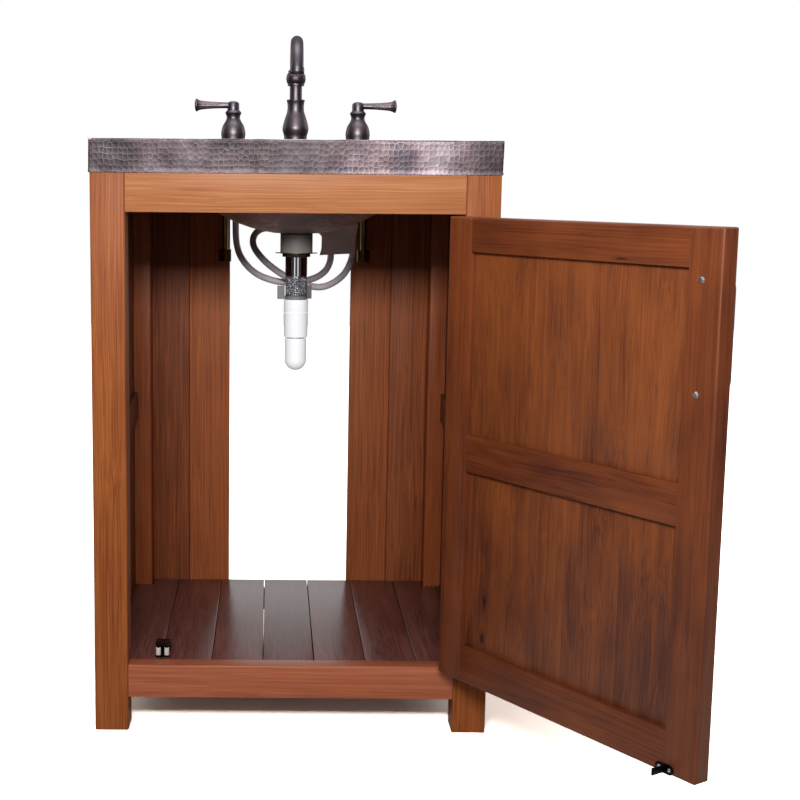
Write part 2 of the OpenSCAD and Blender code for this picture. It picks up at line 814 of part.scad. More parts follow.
// A valve below the top, with its shank, cartridge and stem; side is -1 on the left and 1 on the right
module valve_body(side) {
    foot_top = foot_z + foot_h;
    cartridge_top = counter_z + base_h - base_top_t - cartridge_play;
    at_tap(side * handle_span) {
        translate([0, 0, foot_top - past]) cylinder(d = shank_d, h = counter_z + shank_up - foot_top + past);
        translate([0, 0, foot_top]) cylinder(r = cartridge_r, h = cartridge_top - foot_top);
        translate([0, 0, foot_top]) cylinder(r = stem_r, h = counter_z + base_h + stem_up - foot_top);
        translate([side * (tail_out - port_in) / 2, 0, foot_z + foot_h / 2])
            cube([tail_out + port_in + 2 * foot_margin, foot_w, foot_h], center = true);
        translate([-side * port_in, 0, foot_z - port_h]) cylinder(r = port_r, h = port_h + past);
        translate([side * tail_out, 0, tail_end_z - 2]) cylinder(r = tail_pipe_r, h = tail_l + 2 + past);
        translate([side * tail_out, 0, tail_end_z - inlet_nut_h]) difference() {
            rotate([0, 0, 30]) cylinder(r = inlet_af / 2 / cos(30), h = inlet_nut_h, $fn = 6);
            translate([0, 0, -past]) cylinder(d = inlet_bore, h = inlet_bore_l + past);
        }
    }
}
module valve_bodies() { color(brass) for (side = [-1, 1]) valve_body(side); }

deck_washer_t = 2;
deck_nut_h = 8;
module deck_nuts() {
    nut_z = core_z - deck_washer_t - deck_nut_h;
    color(brass) for (x = [-handle_span, 0, handle_span]) at_tap(x) difference() {
        union() {
            translate([0, 0, core_z - deck_washer_t]) cylinder(d = shank_d + 14, h = deck_washer_t);
            translate([0, 0, nut_z]) cylinder(d = shank_d + 12, h = deck_nut_h + deck_washer_t / 2, $fn = 6);
        }
        translate([0, 0, nut_z - past])
            cylinder(d = shank_d + run_play, h = deck_nut_h + deck_washer_t + 2 * past);
    }
}

tee_drop = 145;
tee_z = counter_z - tee_drop;
tee_half = 12;
tee_r = 8.5;
tee_nut_h = 12;
module spout_tee() {
    nut_z = core_z - shank_below - tee_nut_h;
    color(brass) at_tap() {
        translate([0, 0, nut_z]) cylinder(d = shank_d - 2, h = tee_nut_h, $fn = 6);
        translate([0, 0, tee_z]) cylinder(r = 6, h = nut_z + tee_nut_h / 2 - tee_z);
        translate([-tee_half, 0, tee_z]) rotate([0, 90, 0]) cylinder(r = tee_r, h = 2 * tee_half);
    }
}

// Hoses: each leaves one side of the tee, hangs in a loop and rises to the valve on the other side.
// The routes are chosen by hand, in millimetres in the part's frame.
left_route = [[287, -58, 768], [275, -58, 768], [262, -60, 768], [249, -67, 765], [240, -79, 757],
    [237, -93, 746], [240, -108, 735], [248, -123, 724], [259, -138, 713], [272, -153, 703],
    [288, -168, 693], [305, -179, 684], [321, -182, 677], [338, -178, 673], [355, -168, 671],
    [371, -152, 674], [386, -132, 681], [399, -111, 691], [408, -92, 704], [414, -76, 719],
    [416, -64.5, 735], [416.5, -58.6, 752], [416.5, -58, 772], [416.5, -58, 792]];
right_route = [[335, -58, 768], [347, -58, 768], [359, -58.5, 763], [368, -61, 752], [374, -67, 738],
    [376, -76, 723], [374, -87, 709.5], [368, -100, 698], [359, -113, 690], [347, -125, 684],
    [332, -134, 680], [315, -139, 678], [298, -140, 677], [281, -137, 678], [264, -131, 682],
    [248, -122, 688], [234, -110, 697], [222, -97, 709], [213, -84, 723], [208, -73, 739],
    [206, -64, 756], [205.5, -59, 773], [205.5, -58, 783], [205.5, -58, 792]];
hose_sides = 10;

function unit(v) = v / norm(v);
function along(p, i) = unit(p[min(i + 1, len(p) - 1)] - p[max(i - 1, 0)]);
function across(p, i = 0, s = [0, 0, 1]) = i == len(p) ? []
    : let (t = along(p, i), n = unit(s - (s * t) * t)) concat([n], across(p, i + 1, n));

module swept_tube(route, d, sides) {
    n = across(route);
    rings = [for (i = [0 : len(route) - 1], k = [0 : sides - 1]) let (b = cross(along(route, i), n[i]))
        route[i] + d / 2 * (cos(k * 360 / sides) * n[i] + sin(k * 360 / sides) * b)];
    last = (len(route) - 1) * sides;
    walls = [for (i = [0 : len(route) - 2], k = [0 : sides - 1]) let (a = i * sides, m = (k + 1) % sides)
        each [[a + k, a + sides + k, a + m], [a + m, a + sides + k, a + sides + m]]];
    ends = [for (k = [1 : sides - 2]) each [[0, k, k + 1], [last, last + k + 1, last + k]]];
    polyhedron(rings, concat(walls, ends));
}

module hose_left() { color(steel_braid) swept_tube(left_route, hose_d, hose_sides); }
module hose_right() { color(steel_braid) swept_tube(right_route, hose_d, hose_sides); }

// A ferrule where each end of a hose meets the tee or a valve's port
module hose_ferrules() {
    color(chrome) for (side = [-1, 1]) {
        at_tap(side * tee_half) translate([0, 0, tee_z]) rotate([0, side * 90, 0])
            cylinder(r = ferrule_r, h = ferrule_h);
        at_tap(side * (handle_span - port_in)) translate([0, 0, foot_z - port_h - ferrule_h])
            cylinder(r = ferrule_r, h = ferrule_h);
    }
}

// A blank paper tag: a sleeve round the left hose's last rise, with a flag that hangs in front of both hoses
tag_t = 0.7;
tag_gap = 0.5;
tag_top_z = 777;
sleeve_h = 17;
flag_h = 55;
flag_from = [424, -77];
flag_to = [358, -112];
module tag_sheet(from, to, h) {
    way = to - from;
    translate([from[0], from[1], tag_top_z - h]) rotate([0, 0, atan2(way[1], way[0])])
        translate([0, -tag_t / 2, 0]) cube([norm(way), tag_t, h]);
}
module hose_tag() {
    hose_x = left_route[len(left_route) - 1][0];
    r = hose_d / 2 + tag_gap;
    color("#b9b2ae") {
        translate([hose_x, tap_line_y, 0]) tube(r + tag_t, r, tag_top_z - sleeve_h, tag_top_z);
        tag_sheet([hose_x, tap_line_y - r - tag_t / 2], [hose_x, flag_from[1] - 4], sleeve_h);
        tag_sheet(flag_from, flag_to, flag_h);
    }
}

// Door

module door_shape() {
    w = door_r - door_l;
    h = door_z1 - door_z0;
    intersection() {
        translate([door_l, front_y, door_z0]) linear_extrude(h) round_rect(w, door_t, door_round);
        translate([door_l, front_y, door_z0]) rotate([90, 0, 90])
            linear_extrude(w) round_rect(door_t, h, door_round);
    }
}

// The long slot that takes the panels and the stub tenons of the rails
module door_slot(x0, x1, z0, z1) {
    box([x0, panel_y0 - slot_play, z0], [x1, panel_y1 + slot_play, z1]);
}

module door_slab(x0, x1, z0, z1) {
    intersection() {
        door_shape();
        box([x0, front_y - past, z0], [x1, door_in_y + past, z1]);
    }
}

module stile_slot(x0, x1) {
    door_slot(x0, x1, door_z0 + door_round, door_z1 - door_round);
}

module door_hinge_stile() {
    x0 = door_r - stile_w;
    color(pine) on_open_door() difference() {
        door_slab(x0, door_r + past, door_z0 - past, door_z1 + past);
        stile_slot(x0 - past, x0 + groove_d + slot_play);
        hinge_recesses();
    }
}

screw_d = 4;
module door_free_stile() {
    x1 = door_l + stile_w;
    color(pine) on_open_door() difference() {
        door_slab(door_l - past, x1, door_z0 - past, door_z1 + past);
        stile_slot(x1 - groove_d - slot_play, x1 + past);
        for (end = [-1, 1]) at_pull_screw(end, front_y - past)
            cylinder(d = screw_d + 0.8, h = door_t + 2 * past);
    }
}

module door_rail(z0, z1) {
    x0 = door_l + stile_w;
    x1 = door_r - stile_w;
    color(pine) on_open_door() difference() {
        union() {
            door_slab(x0, x1, z0, z1);
            box([x0 - groove_d, panel_y0, max(z0, door_z0 + door_round + past)],
                [x1 + groove_d, panel_y1, min(z1, door_z1 - door_round - past)]);
        }
        if (z0 > door_z0) door_slot(x0 - leg, x1 + leg, z0 - past, z0 + groove_d + slot_play);
        if (z1 < door_z1) door_slot(x0 - leg, x1 + leg, z1 - groove_d - slot_play, z1 + past);
    }
}
module door_top_rail() { door_rail(door_z1 - door_top_h, door_z1); }
module door_mid_rail() { door_rail(door_mid_z, door_mid_z + door_mid_h); }
module door_bottom_rail() { door_rail(door_z0, door_z0 + door_bottom_h); }

module door_panels() {
    x0 = door_l + stile_w - groove_d;
    x1 = door_r - stile_w + groove_d;
    fields = [[door_z0 + door_bottom_h, door_mid_z], [door_mid_z + door_mid_h, door_z1 - door_top_h]];
    color(pine_dark) on_open_door() for (field = fields)
        box([x0, panel_y0, field[0] - groove_d], [x1, panel_y1, field[1] + groove_d]);
}

// Puts children at one screw of the pull, at a depth y, with their +Z pointing into the door
module at_pull_screw(end, y) {
    translate([pull_x, y, pull_mid_z + end * pull_span / 2]) rotate([-90, 0, 0]) children();
}

// The pull: two feet, two bends and a straight grip
pull_bend = 14;
pull_foot_h = 3;
pull_foot_proud = 3;
pull_foot_d = pull_bar_d + 2 * pull_foot_proud;
screw_bite = 9;
module pull_handle() {
    grip_y = front_y - pull_reach + pull_bar_d / 2;
    post_l = pull_reach - pull_bar_d / 2 - pull_bend;
    color(bronze) on_open_door() difference() {
        union() {
            for (end = [-1, 1]) {
                at_pull_screw(end, front_y - pull_foot_h) cylinder(d = pull_foot_d, h = pull_foot_h);
                at_pull_screw(end, front_y - post_l - weld) cylinder(d = pull_bar_d, h = post_l);
                translate([pull_x, grip_y + pull_bend, pull_mid_z + end * (pull_span / 2 - pull_bend)])
                    rotate([0, -90, 0]) rotate([0, 0, end > 0 ? -90 : 180]) rotate_extrude(angle = 90)
                        translate([pull_bend, 0]) circle(d = pull_bar_d);
            }
            translate([pull_x, grip_y, pull_mid_z - pull_span / 2 + pull_bend - weld])
                cylinder(d = pull_bar_d, h = pull_span - 2 * pull_bend + 2 * weld);
        }
        for (end = [-1, 1]) at_pull_screw(end, front_y - screw_bite - past)
            cylinder(d = screw_d + run_play, h = screw_bite + 2 * past);
    }
}

screw_head_d = 9;
screw_head_h = 2.4;
module pull_screws() {
    color(chrome) on_open_door() for (end = [-1, 1]) {
        at_pull_screw(end, door_in_y) cylinder(d1 = screw_head_d, d2 = screw_head_d - 3, h = screw_head_h);
        at_pull_screw(end, front_y - screw_bite) cylinder(d = screw_d, h = door_t + screw_bite + past);
    }
}

// Butt hinges

knuckles = 5;
hinge_z = [door_z0 + hinge_in, door_z1 - hinge_in - hinge_h];
knuckle_h = hinge_h / knuckles;
leaf_off = 0.2;
leaf_let_in = leaf_t + leaf_off - hinge_gap / 2;

module on_pin(z) {
    translate([pin_x, pin_y, z]) children();
}

module knuckle_row(r, first, grow) {
    for (i = [first : 2 : knuckles - 1])
        translate([0, 0, i * knuckle_h + run_play / 2 - grow])
            cylinder(r = r, h = knuckle_h - run_play + 2 * grow);
}

// One hinge leaf, drawn closed: side is 1 for the leaf on the frame and -1 for the leaf on the door
module hinge_leaf(side, first) {
    plate_x = side > 0 ? leaf_off : -leaf_off - leaf_t;
    difference() {
        union() {
            knuckle_row(barrel_d / 2, first, 0);
            translate([plate_x, 0, run_play / 2]) cube([leaf_t, leaf_w, hinge_h - run_play]);
        }
        knuckle_row(barrel_d / 2 + run_play, 1 - first, run_play);
        translate([0, 0, -past]) cylinder(d = hinge_pin_d + run_play, h = hinge_h + 2 * past);
    }
}

// Shallow housings for the leaves in the leg and in the door's edge
module hinge_recesses() {
    for (z = hinge_z) on_pin(z)
        translate([-hinge_gap / 2 - leaf_let_in, barrel_d / 2, -slot_play])
            cube([hinge_gap + 2 * leaf_let_in, leaf_w - barrel_d / 2 + slot_play, hinge_h + 2 * slot_play]);
}

module hinge_leaves_frame() { color(brass) for (z = hinge_z) on_pin(z) hinge_leaf(1, 0); }
module hinge_leaves_door() { color(brass) on_open_door() for (z = hinge_z) on_pin(z) hinge_leaf(-1, 1); }
pin_head_h = 2.5;
module hinge_pins() {
    color(brass) for (z = hinge_z) on_pin(z) {
        translate([0, 0, -past]) cylinder(d = hinge_pin_d, h = hinge_h + 2 * past);
        for (head_z = [-pin_head_h, hinge_h])
            translate([0, 0, head_z]) cylinder(d = barrel_d - 1, h = pin_head_h);
    }
}

// Double roller catch on the floor, and its tongue on the door

catch_mid_x = inner_l + catch_x;
catch_in = 15;
roller_y = door_in_y + catch_in;
arm_pin_y = roller_y + arm_l;
roller_off = (roller_gap + roller_d) / 2;
plate_t = 1.5;
fork_t = 1.8;
roller_play = 0.4;
roller_z = floor_z + plate_t + run_play + fork_t + roller_play;
arm_z0 = roller_z - roller_play - fork_t;
arm_z1 = roller_z + roller_h + roller_play + fork_t;
catch_z1 = arm_z1 + run_play + plate_t;
catch_half = roller_off + roller_d / 2 + 0.3;
arm_w = 4;
arm_eye_r = 3.4;
fork_tip_r = 2.6;
roller_pin_d = 3;
arm_pin_d = 3;
back_off = 6;

module at_arm(side, y, z) {
    translate([catch_mid_x + side * roller_off, y, z]) children();
}

// A strip bent into a fork, with a pin through it for each arm
module catch_housing() {
    back_y = arm_pin_y + back_off;
    color(black) {
        difference() {
            box([catch_mid_x - catch_half, roller_y - past, floor_z],
                [catch_mid_x + catch_half, back_y + 2, catch_z1]);
            box([catch_mid_x - catch_half - past, roller_y - 2 * past, floor_z + plate_t],
                [catch_mid_x + catch_half + past, back_y, catch_z1 - plate_t]);
            for (side = [-1, 1]) at_arm(side, arm_pin_y, floor_z - past)
                cylinder(d = arm_pin_d + run_play, h = catch_z1 - floor_z + 2 * past);
        }
        for (side = [-1, 1]) at_arm(side, arm_pin_y, floor_z + run_play)
            cylinder(d = arm_pin_d, h = catch_z1 - floor_z - run_play);
    }
}

module catch_arm(side) {
    x = catch_mid_x + side * roller_off;
    color("#3a3a3e") difference() {
        union() {
            at_arm(side, arm_pin_y, arm_z0) cylinder(r = arm_eye_r, h = arm_z1 - arm_z0);
            box([x - arm_w / 2, roller_y + roller_d / 2 + 1, arm_z0], [x + arm_w / 2, arm_pin_y, arm_z1]);
            for (z = [arm_z0, arm_z1 - fork_t]) {
                box([x - arm_w / 2, roller_y, z], [x + arm_w / 2, arm_pin_y - arm_w, z + fork_t]);
                at_arm(side, roller_y, z) cylinder(r = fork_tip_r, h = fork_t);
            }
            at_arm(side, roller_y, arm_z0) cylinder(d = roller_pin_d, h = arm_z1 - arm_z0);
        }
        at_arm(side, arm_pin_y, arm_z0 - past)
            cylinder(d = arm_pin_d + run_play, h = arm_z1 - arm_z0 + 2 * past);
    }
}
module catch_arm_left() { catch_arm(-1); }
module catch_arm_right() { catch_arm(1); }

module catch_roller(side) {
    color(white_plastic) at_arm(side, roller_y, 0)
        tube(roller_d / 2, (roller_pin_d + run_play) / 2, roller_z, roller_z + roller_h);
}
module catch_roller_left() { catch_roller(-1); }
module catch_roller_right() { catch_roller(1); }

// The tongue on the door: an oval plate, a thin neck and a round nose that the rollers hold
strike_w = 30;
strike_h = 13;
strike_t = 1.6;
neck_t = 2.6;
nose_r = 1.9;
strike_up = 0.5;
// The nose swings in on an arc, so it sits a little towards the hinge
nose_off = 0.4;
module door_strike() {
    x = catch_mid_x + nose_off;
    z = door_z0 + strike_up;
    nose_y = roller_y + roller_d / 2 + nose_r + 0.6;
    color(black) on_open_door() {
        translate([x, door_in_y + strike_t, z + strike_h / 2]) rotate([90, 0, 0]) linear_extrude(strike_t) {
            square([strike_w - strike_h, strike_h], center = true);
            for (end = [-1, 1]) translate([end * (strike_w - strike_h) / 2, 0]) circle(d = strike_h);
        }
        box([x - neck_t / 2, door_in_y + strike_t / 2, z + 2], [x + neck_t / 2, nose_y, z + strike_h - 2]);
        translate([x, nose_y, z + 2]) cylinder(r = nose_r, h = strike_h - 4);
    }
}

leg_front_left();
leg_front_right();
leg_rear_left();
leg_rear_right();
front_top_rail();
front_bottom_rail();
side_rails_left();
side_rails_right();
side_panels_left();
side_panels_right();
rear_top_rail();
rear_bottom_rail();
back_boards_left();
back_boards_right();
floor_boards();
floor_bearer();
top_cleats();
top_core();
copper_top();
sink_bowl();
waste_body();
waste_stopper();
waste_gasket();
waste_spacer();
eared_washer();
waste_nut();
tailpiece();
tail_clip();
slip_sleeve();
tail_collar();
tail_cap();
spout_base();
spout();
handle_bases();
handle_left();
handle_right();
valve_bodies();
deck_nuts();
spout_tee();
hose_left();
hose_right();
hose_ferrules();
hose_tag();
door_hinge_stile();
door_free_stile();
door_top_rail();
door_mid_rail();
door_bottom_rail();
door_panels();
pull_handle();
pull_screws();
hinge_leaves_frame();
hinge_leaves_door();
hinge_pins();
catch_housing();
catch_arm_left();
catch_arm_right();
catch_roller_left();
catch_roller_right();
door_strike();
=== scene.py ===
import json
import math

import bmesh
import bpy
from mathutils import Matrix, Vector


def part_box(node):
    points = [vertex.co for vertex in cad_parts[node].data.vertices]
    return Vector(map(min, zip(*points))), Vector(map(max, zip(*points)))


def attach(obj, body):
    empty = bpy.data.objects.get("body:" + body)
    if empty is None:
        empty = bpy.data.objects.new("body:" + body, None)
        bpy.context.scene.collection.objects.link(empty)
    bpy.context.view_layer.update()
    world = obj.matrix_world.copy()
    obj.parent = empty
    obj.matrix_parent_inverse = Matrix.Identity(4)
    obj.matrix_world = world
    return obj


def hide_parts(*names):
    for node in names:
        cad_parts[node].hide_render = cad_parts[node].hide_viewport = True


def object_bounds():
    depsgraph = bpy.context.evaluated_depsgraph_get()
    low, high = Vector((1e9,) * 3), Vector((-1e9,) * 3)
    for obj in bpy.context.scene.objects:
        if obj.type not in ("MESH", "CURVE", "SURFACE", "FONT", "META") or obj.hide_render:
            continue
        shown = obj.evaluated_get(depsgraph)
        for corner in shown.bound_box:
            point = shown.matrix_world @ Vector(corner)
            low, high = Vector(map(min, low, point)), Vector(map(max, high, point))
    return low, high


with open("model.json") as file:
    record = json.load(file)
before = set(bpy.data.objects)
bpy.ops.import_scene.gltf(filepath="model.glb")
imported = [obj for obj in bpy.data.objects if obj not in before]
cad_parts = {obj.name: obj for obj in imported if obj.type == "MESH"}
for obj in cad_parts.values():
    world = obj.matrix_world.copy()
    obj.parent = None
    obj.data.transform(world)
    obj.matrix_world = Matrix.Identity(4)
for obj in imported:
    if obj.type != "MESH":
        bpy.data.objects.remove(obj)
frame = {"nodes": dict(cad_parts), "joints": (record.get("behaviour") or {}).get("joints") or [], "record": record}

cad_low, cad_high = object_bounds()
scene = bpy.context.scene
mm = 0.001
JOINTS = {joint["name"]: joint for joint in frame["joints"]}
BODY_OF = {node: body for body, nodes in frame["record"]["behaviour"]["bodies"].items() for node in nodes}


def linear(hex_colour):
    """An sRGB hex colour as the linear RGBA that the shader sockets take."""
    parts = [int(hex_colour[i:i + 2], 16) / 255 for i in (1, 3, 5)]
    return tuple(c / 12.92 if c <= 0.04045 else ((c + 0.055) / 1.055) ** 2.4 for c in parts) + (1.0,)


# Camera, where the photograph was taken from

eye = Vector((0.26977, -2.65418, 0.85445))
yaw, pitch, roll = math.radians(0.037), math.radians(-8.731), math.radians(0.45)
ahead = Vector((math.sin(yaw) * math.cos(pitch), math.cos(yaw) * math.cos(pitch), math.sin(pitch)))
level_right = Vector((math.cos(yaw), -math.sin(yaw), 0))
level_up = level_right.cross(ahead)
right = level_right * math.cos(roll) + level_up * math.sin(roll)
up = level_up * math.cos(roll) - level_right * math.sin(roll)
camera_data = bpy.data.cameras.new("camera")
camera_data.sensor_width = 36
camera_data.lens = 64.646
camera_data.shift_x = 0.16114        # the photograph frames the cabinet left of its middle
camera = bpy.data.objects.new("camera", camera_data)
camera.matrix_world = Matrix((right, up, -ahead)).transposed().to_4x4()
camera.location = eye
scene.collection.objects.link(camera)
scene.camera = camera


# Door: turns points from where the open door stands to where it closes

door_open = -math.radians(JOINTS["door_hinge"]["range_deg"][0])
hinge = Vector(JOINTS["door_hinge"]["pos_m"])
door_shut = Matrix.Translation(hinge) @ Matrix.Rotation(-door_open, 4, "Z") @ Matrix.Translation(-hinge)


# Meshes

def new_object(name, bm, material):
    """An object from a bmesh, which it frees."""
    mesh = bpy.data.meshes.new(name)
    bm.to_mesh(mesh)
    bm.free()
    mesh.materials.append(material)
    made = bpy.data.objects.new(name, mesh)
    scene.collection.objects.link(made)
    return made


def new_piece(name, bm, body, material):
    """Makes a finished piece from a bmesh; it rides on a body and takes its finish from a material slot."""
    piece = new_object(name, bm, material)
    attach(piece, body)
    return piece


def stand_in(name, bm, node, material):
    """Makes a finished piece that stands for a CAD node, on that node's body."""
    piece = new_piece(name, bm, BODY_OF[node], material)
    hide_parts(node)
    return piece


def merge(bm, other):
    """Adds another bmesh to a bmesh and frees it."""
    mesh = bpy.data.meshes.new("merged")
    other.to_mesh(mesh)
    other.free()
    bm.from_mesh(mesh)
    bpy.data.meshes.remove(mesh)


def shade_by_angle(bm, degrees=32):
    """Smooth faces with sharp edges where two faces meet at more than the angle."""
    limit = math.radians(degrees)
    for face in bm.faces:
        face.smooth = True
    for edge in bm.edges:
        edge.smooth = len(edge.link_faces) == 2 and edge.calc_face_angle(0) < limit


def joined_copy(node):
    """A merged copy of a CAD node's mesh without its needless edges."""
    bm = bmesh.new()
    bm.from_mesh(frame["nodes"][node].data)
    bmesh.ops.remove_doubles(bm, verts=bm.verts, dist=0.01 * mm)
    bmesh.ops.dissolve_limit(bm, angle_limit=math.radians(0.5), verts=bm.verts, edges=bm.edges)
    return bm


def round_off(bm, edges, size, segments):
    """Rounds edges as sanding or casting leaves them."""
    bmesh.ops.bevel(bm, geom=edges, offset=size, offset_type="OFFSET", segments=segments, profile=0.5,
                    affect="EDGES", material=-1, clamp_overlap=True, harden_normals=False)


sharp_edge = 0.436        # radians, so edges of 25 degrees and more are rounded


def dress(node, material, bevel=0.0, wear=None):
    """Replaces a CAD node by its rounded copy in the given material; wear is a function that reshapes it first."""
    bm = joined_copy(node)
    if wear:
        wear(bm, node)
    if bevel:
        round_off(bm, [e for e in bm.edges if e.calc_face_angle(0) > sharp_edge], bevel, 3)
    shade_by_angle(bm)
    stand_in(node + "_finished", bm, node, material)


arris_round, corner_round = 2.5 * mm, 4 * mm


def worn_arris(bm, node):
    """Rounds the top front edge of a rail, which feet and cloths have worn."""
    low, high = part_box(node)
    arris = [e for e in bm.edges if all(v.co.y < low.y + 0.1 * mm and v.co.z > high.z - 0.1 * mm for v in e.verts)]
    round_off(bm, arris, arris_round, 4)


def worn_corners(bm, node):
    """Rounds the door's two free corners with planes cut across them, set out as if the door were closed."""
    spots = [door_shut @ v.co for v in bm.verts]
    edge_x = min(spot.x for spot in spots)
    for end_z, way in ((max(spot.z for spot in spots), 1), (min(spot.z for spot in spots), -1)):
        centre = Vector((edge_x + corner_round, spots[0].y, end_z - way * corner_round))
        for degrees in (22.5, 45, 67.5):
            turn = math.radians(degrees)
            out = Vector((-math.cos(turn), 0, way * math.sin(turn)))
            cut = bmesh.ops.bisect_plane(bm, geom=bm.verts[:] + bm.edges[:] + bm.faces[:], dist=1e-6,
                                         plane_co=door_shut.inverted() @ (centre + out * corner_round),
                                         plane_no=door_shut.inverted().to_3x3() @ out, clear_outer=True)
            bmesh.ops.holes_fill(bm, edges=[g for g in cut["geom_cut"] if isinstance(g, bmesh.types.BMEdge)])


def smooth_route(points, steps):
    """A smooth line through the points of a route, with steps between each two."""
    ends = [points[0] * 2 - points[1], *points, points[-1] * 2 - points[-2]]
    line = []
    for a, b, c, d in zip(ends, ends[1:], ends[2:], ends[3:]):
        for k in range(steps):
            t = k / steps
            line.append(0.5 * (2 * b + (c - a) * t + (2 * a - 5 * b + 4 * c - d) * t ** 2
                               + (3 * b - a - 3 * c + d) * t ** 3))
    return line + [points[-1]]


# Materials

def per(size):
    """How often a pattern of a size in millimetres repeats in a metre."""
    return 1 / (size * mm)


def fill(tree, node, inputs):
    """Fills or links a node's inputs by name or number."""
    for key, value in inputs.items():
        if isinstance(value, bpy.types.NodeSocket):
            tree.links.new(value, node.inputs[key])
        else:
            node.inputs[key].default_value = value


def add(tree, kind, inputs=None, stops=(), **settings):
    """Adds a node, sets its properties and fills its inputs. Stops, positions with hex colours or grey levels, go
    to a colour ramp."""
    made = tree.nodes.new(kind if kind.startswith(("Geometry", "NodeGroup")) else "ShaderNode" + kind)
    for key, value in settings.items():
        setattr(made, key, value)
    fill(tree, made, inputs or {})
    if stops:
        elements = made.color_ramp.elements
        while len(elements) < len(stops):
            elements.new(1.0)
        for element, (place, tone) in zip(elements, stops):
            element.position = place
            element.color = linear(tone) if isinstance(tone, str) else (tone, tone, tone, 1)
    return made


def new_material(name):
    """A node material, its tree and its one shader."""
    material = bpy.data.materials.new(name)
    material.use_nodes = True
    return material, material.node_tree, material.node_tree.nodes["Principled BSDF"]


# Turns that lay the pattern's long axis, z, along the grain
GRAIN_TURN = {"Z": (0, 0, 0), "X": (0, -math.pi / 2, 0), "Y": (math.pi / 2, 0, 0)}
knot_brown = "#2a0f0a"


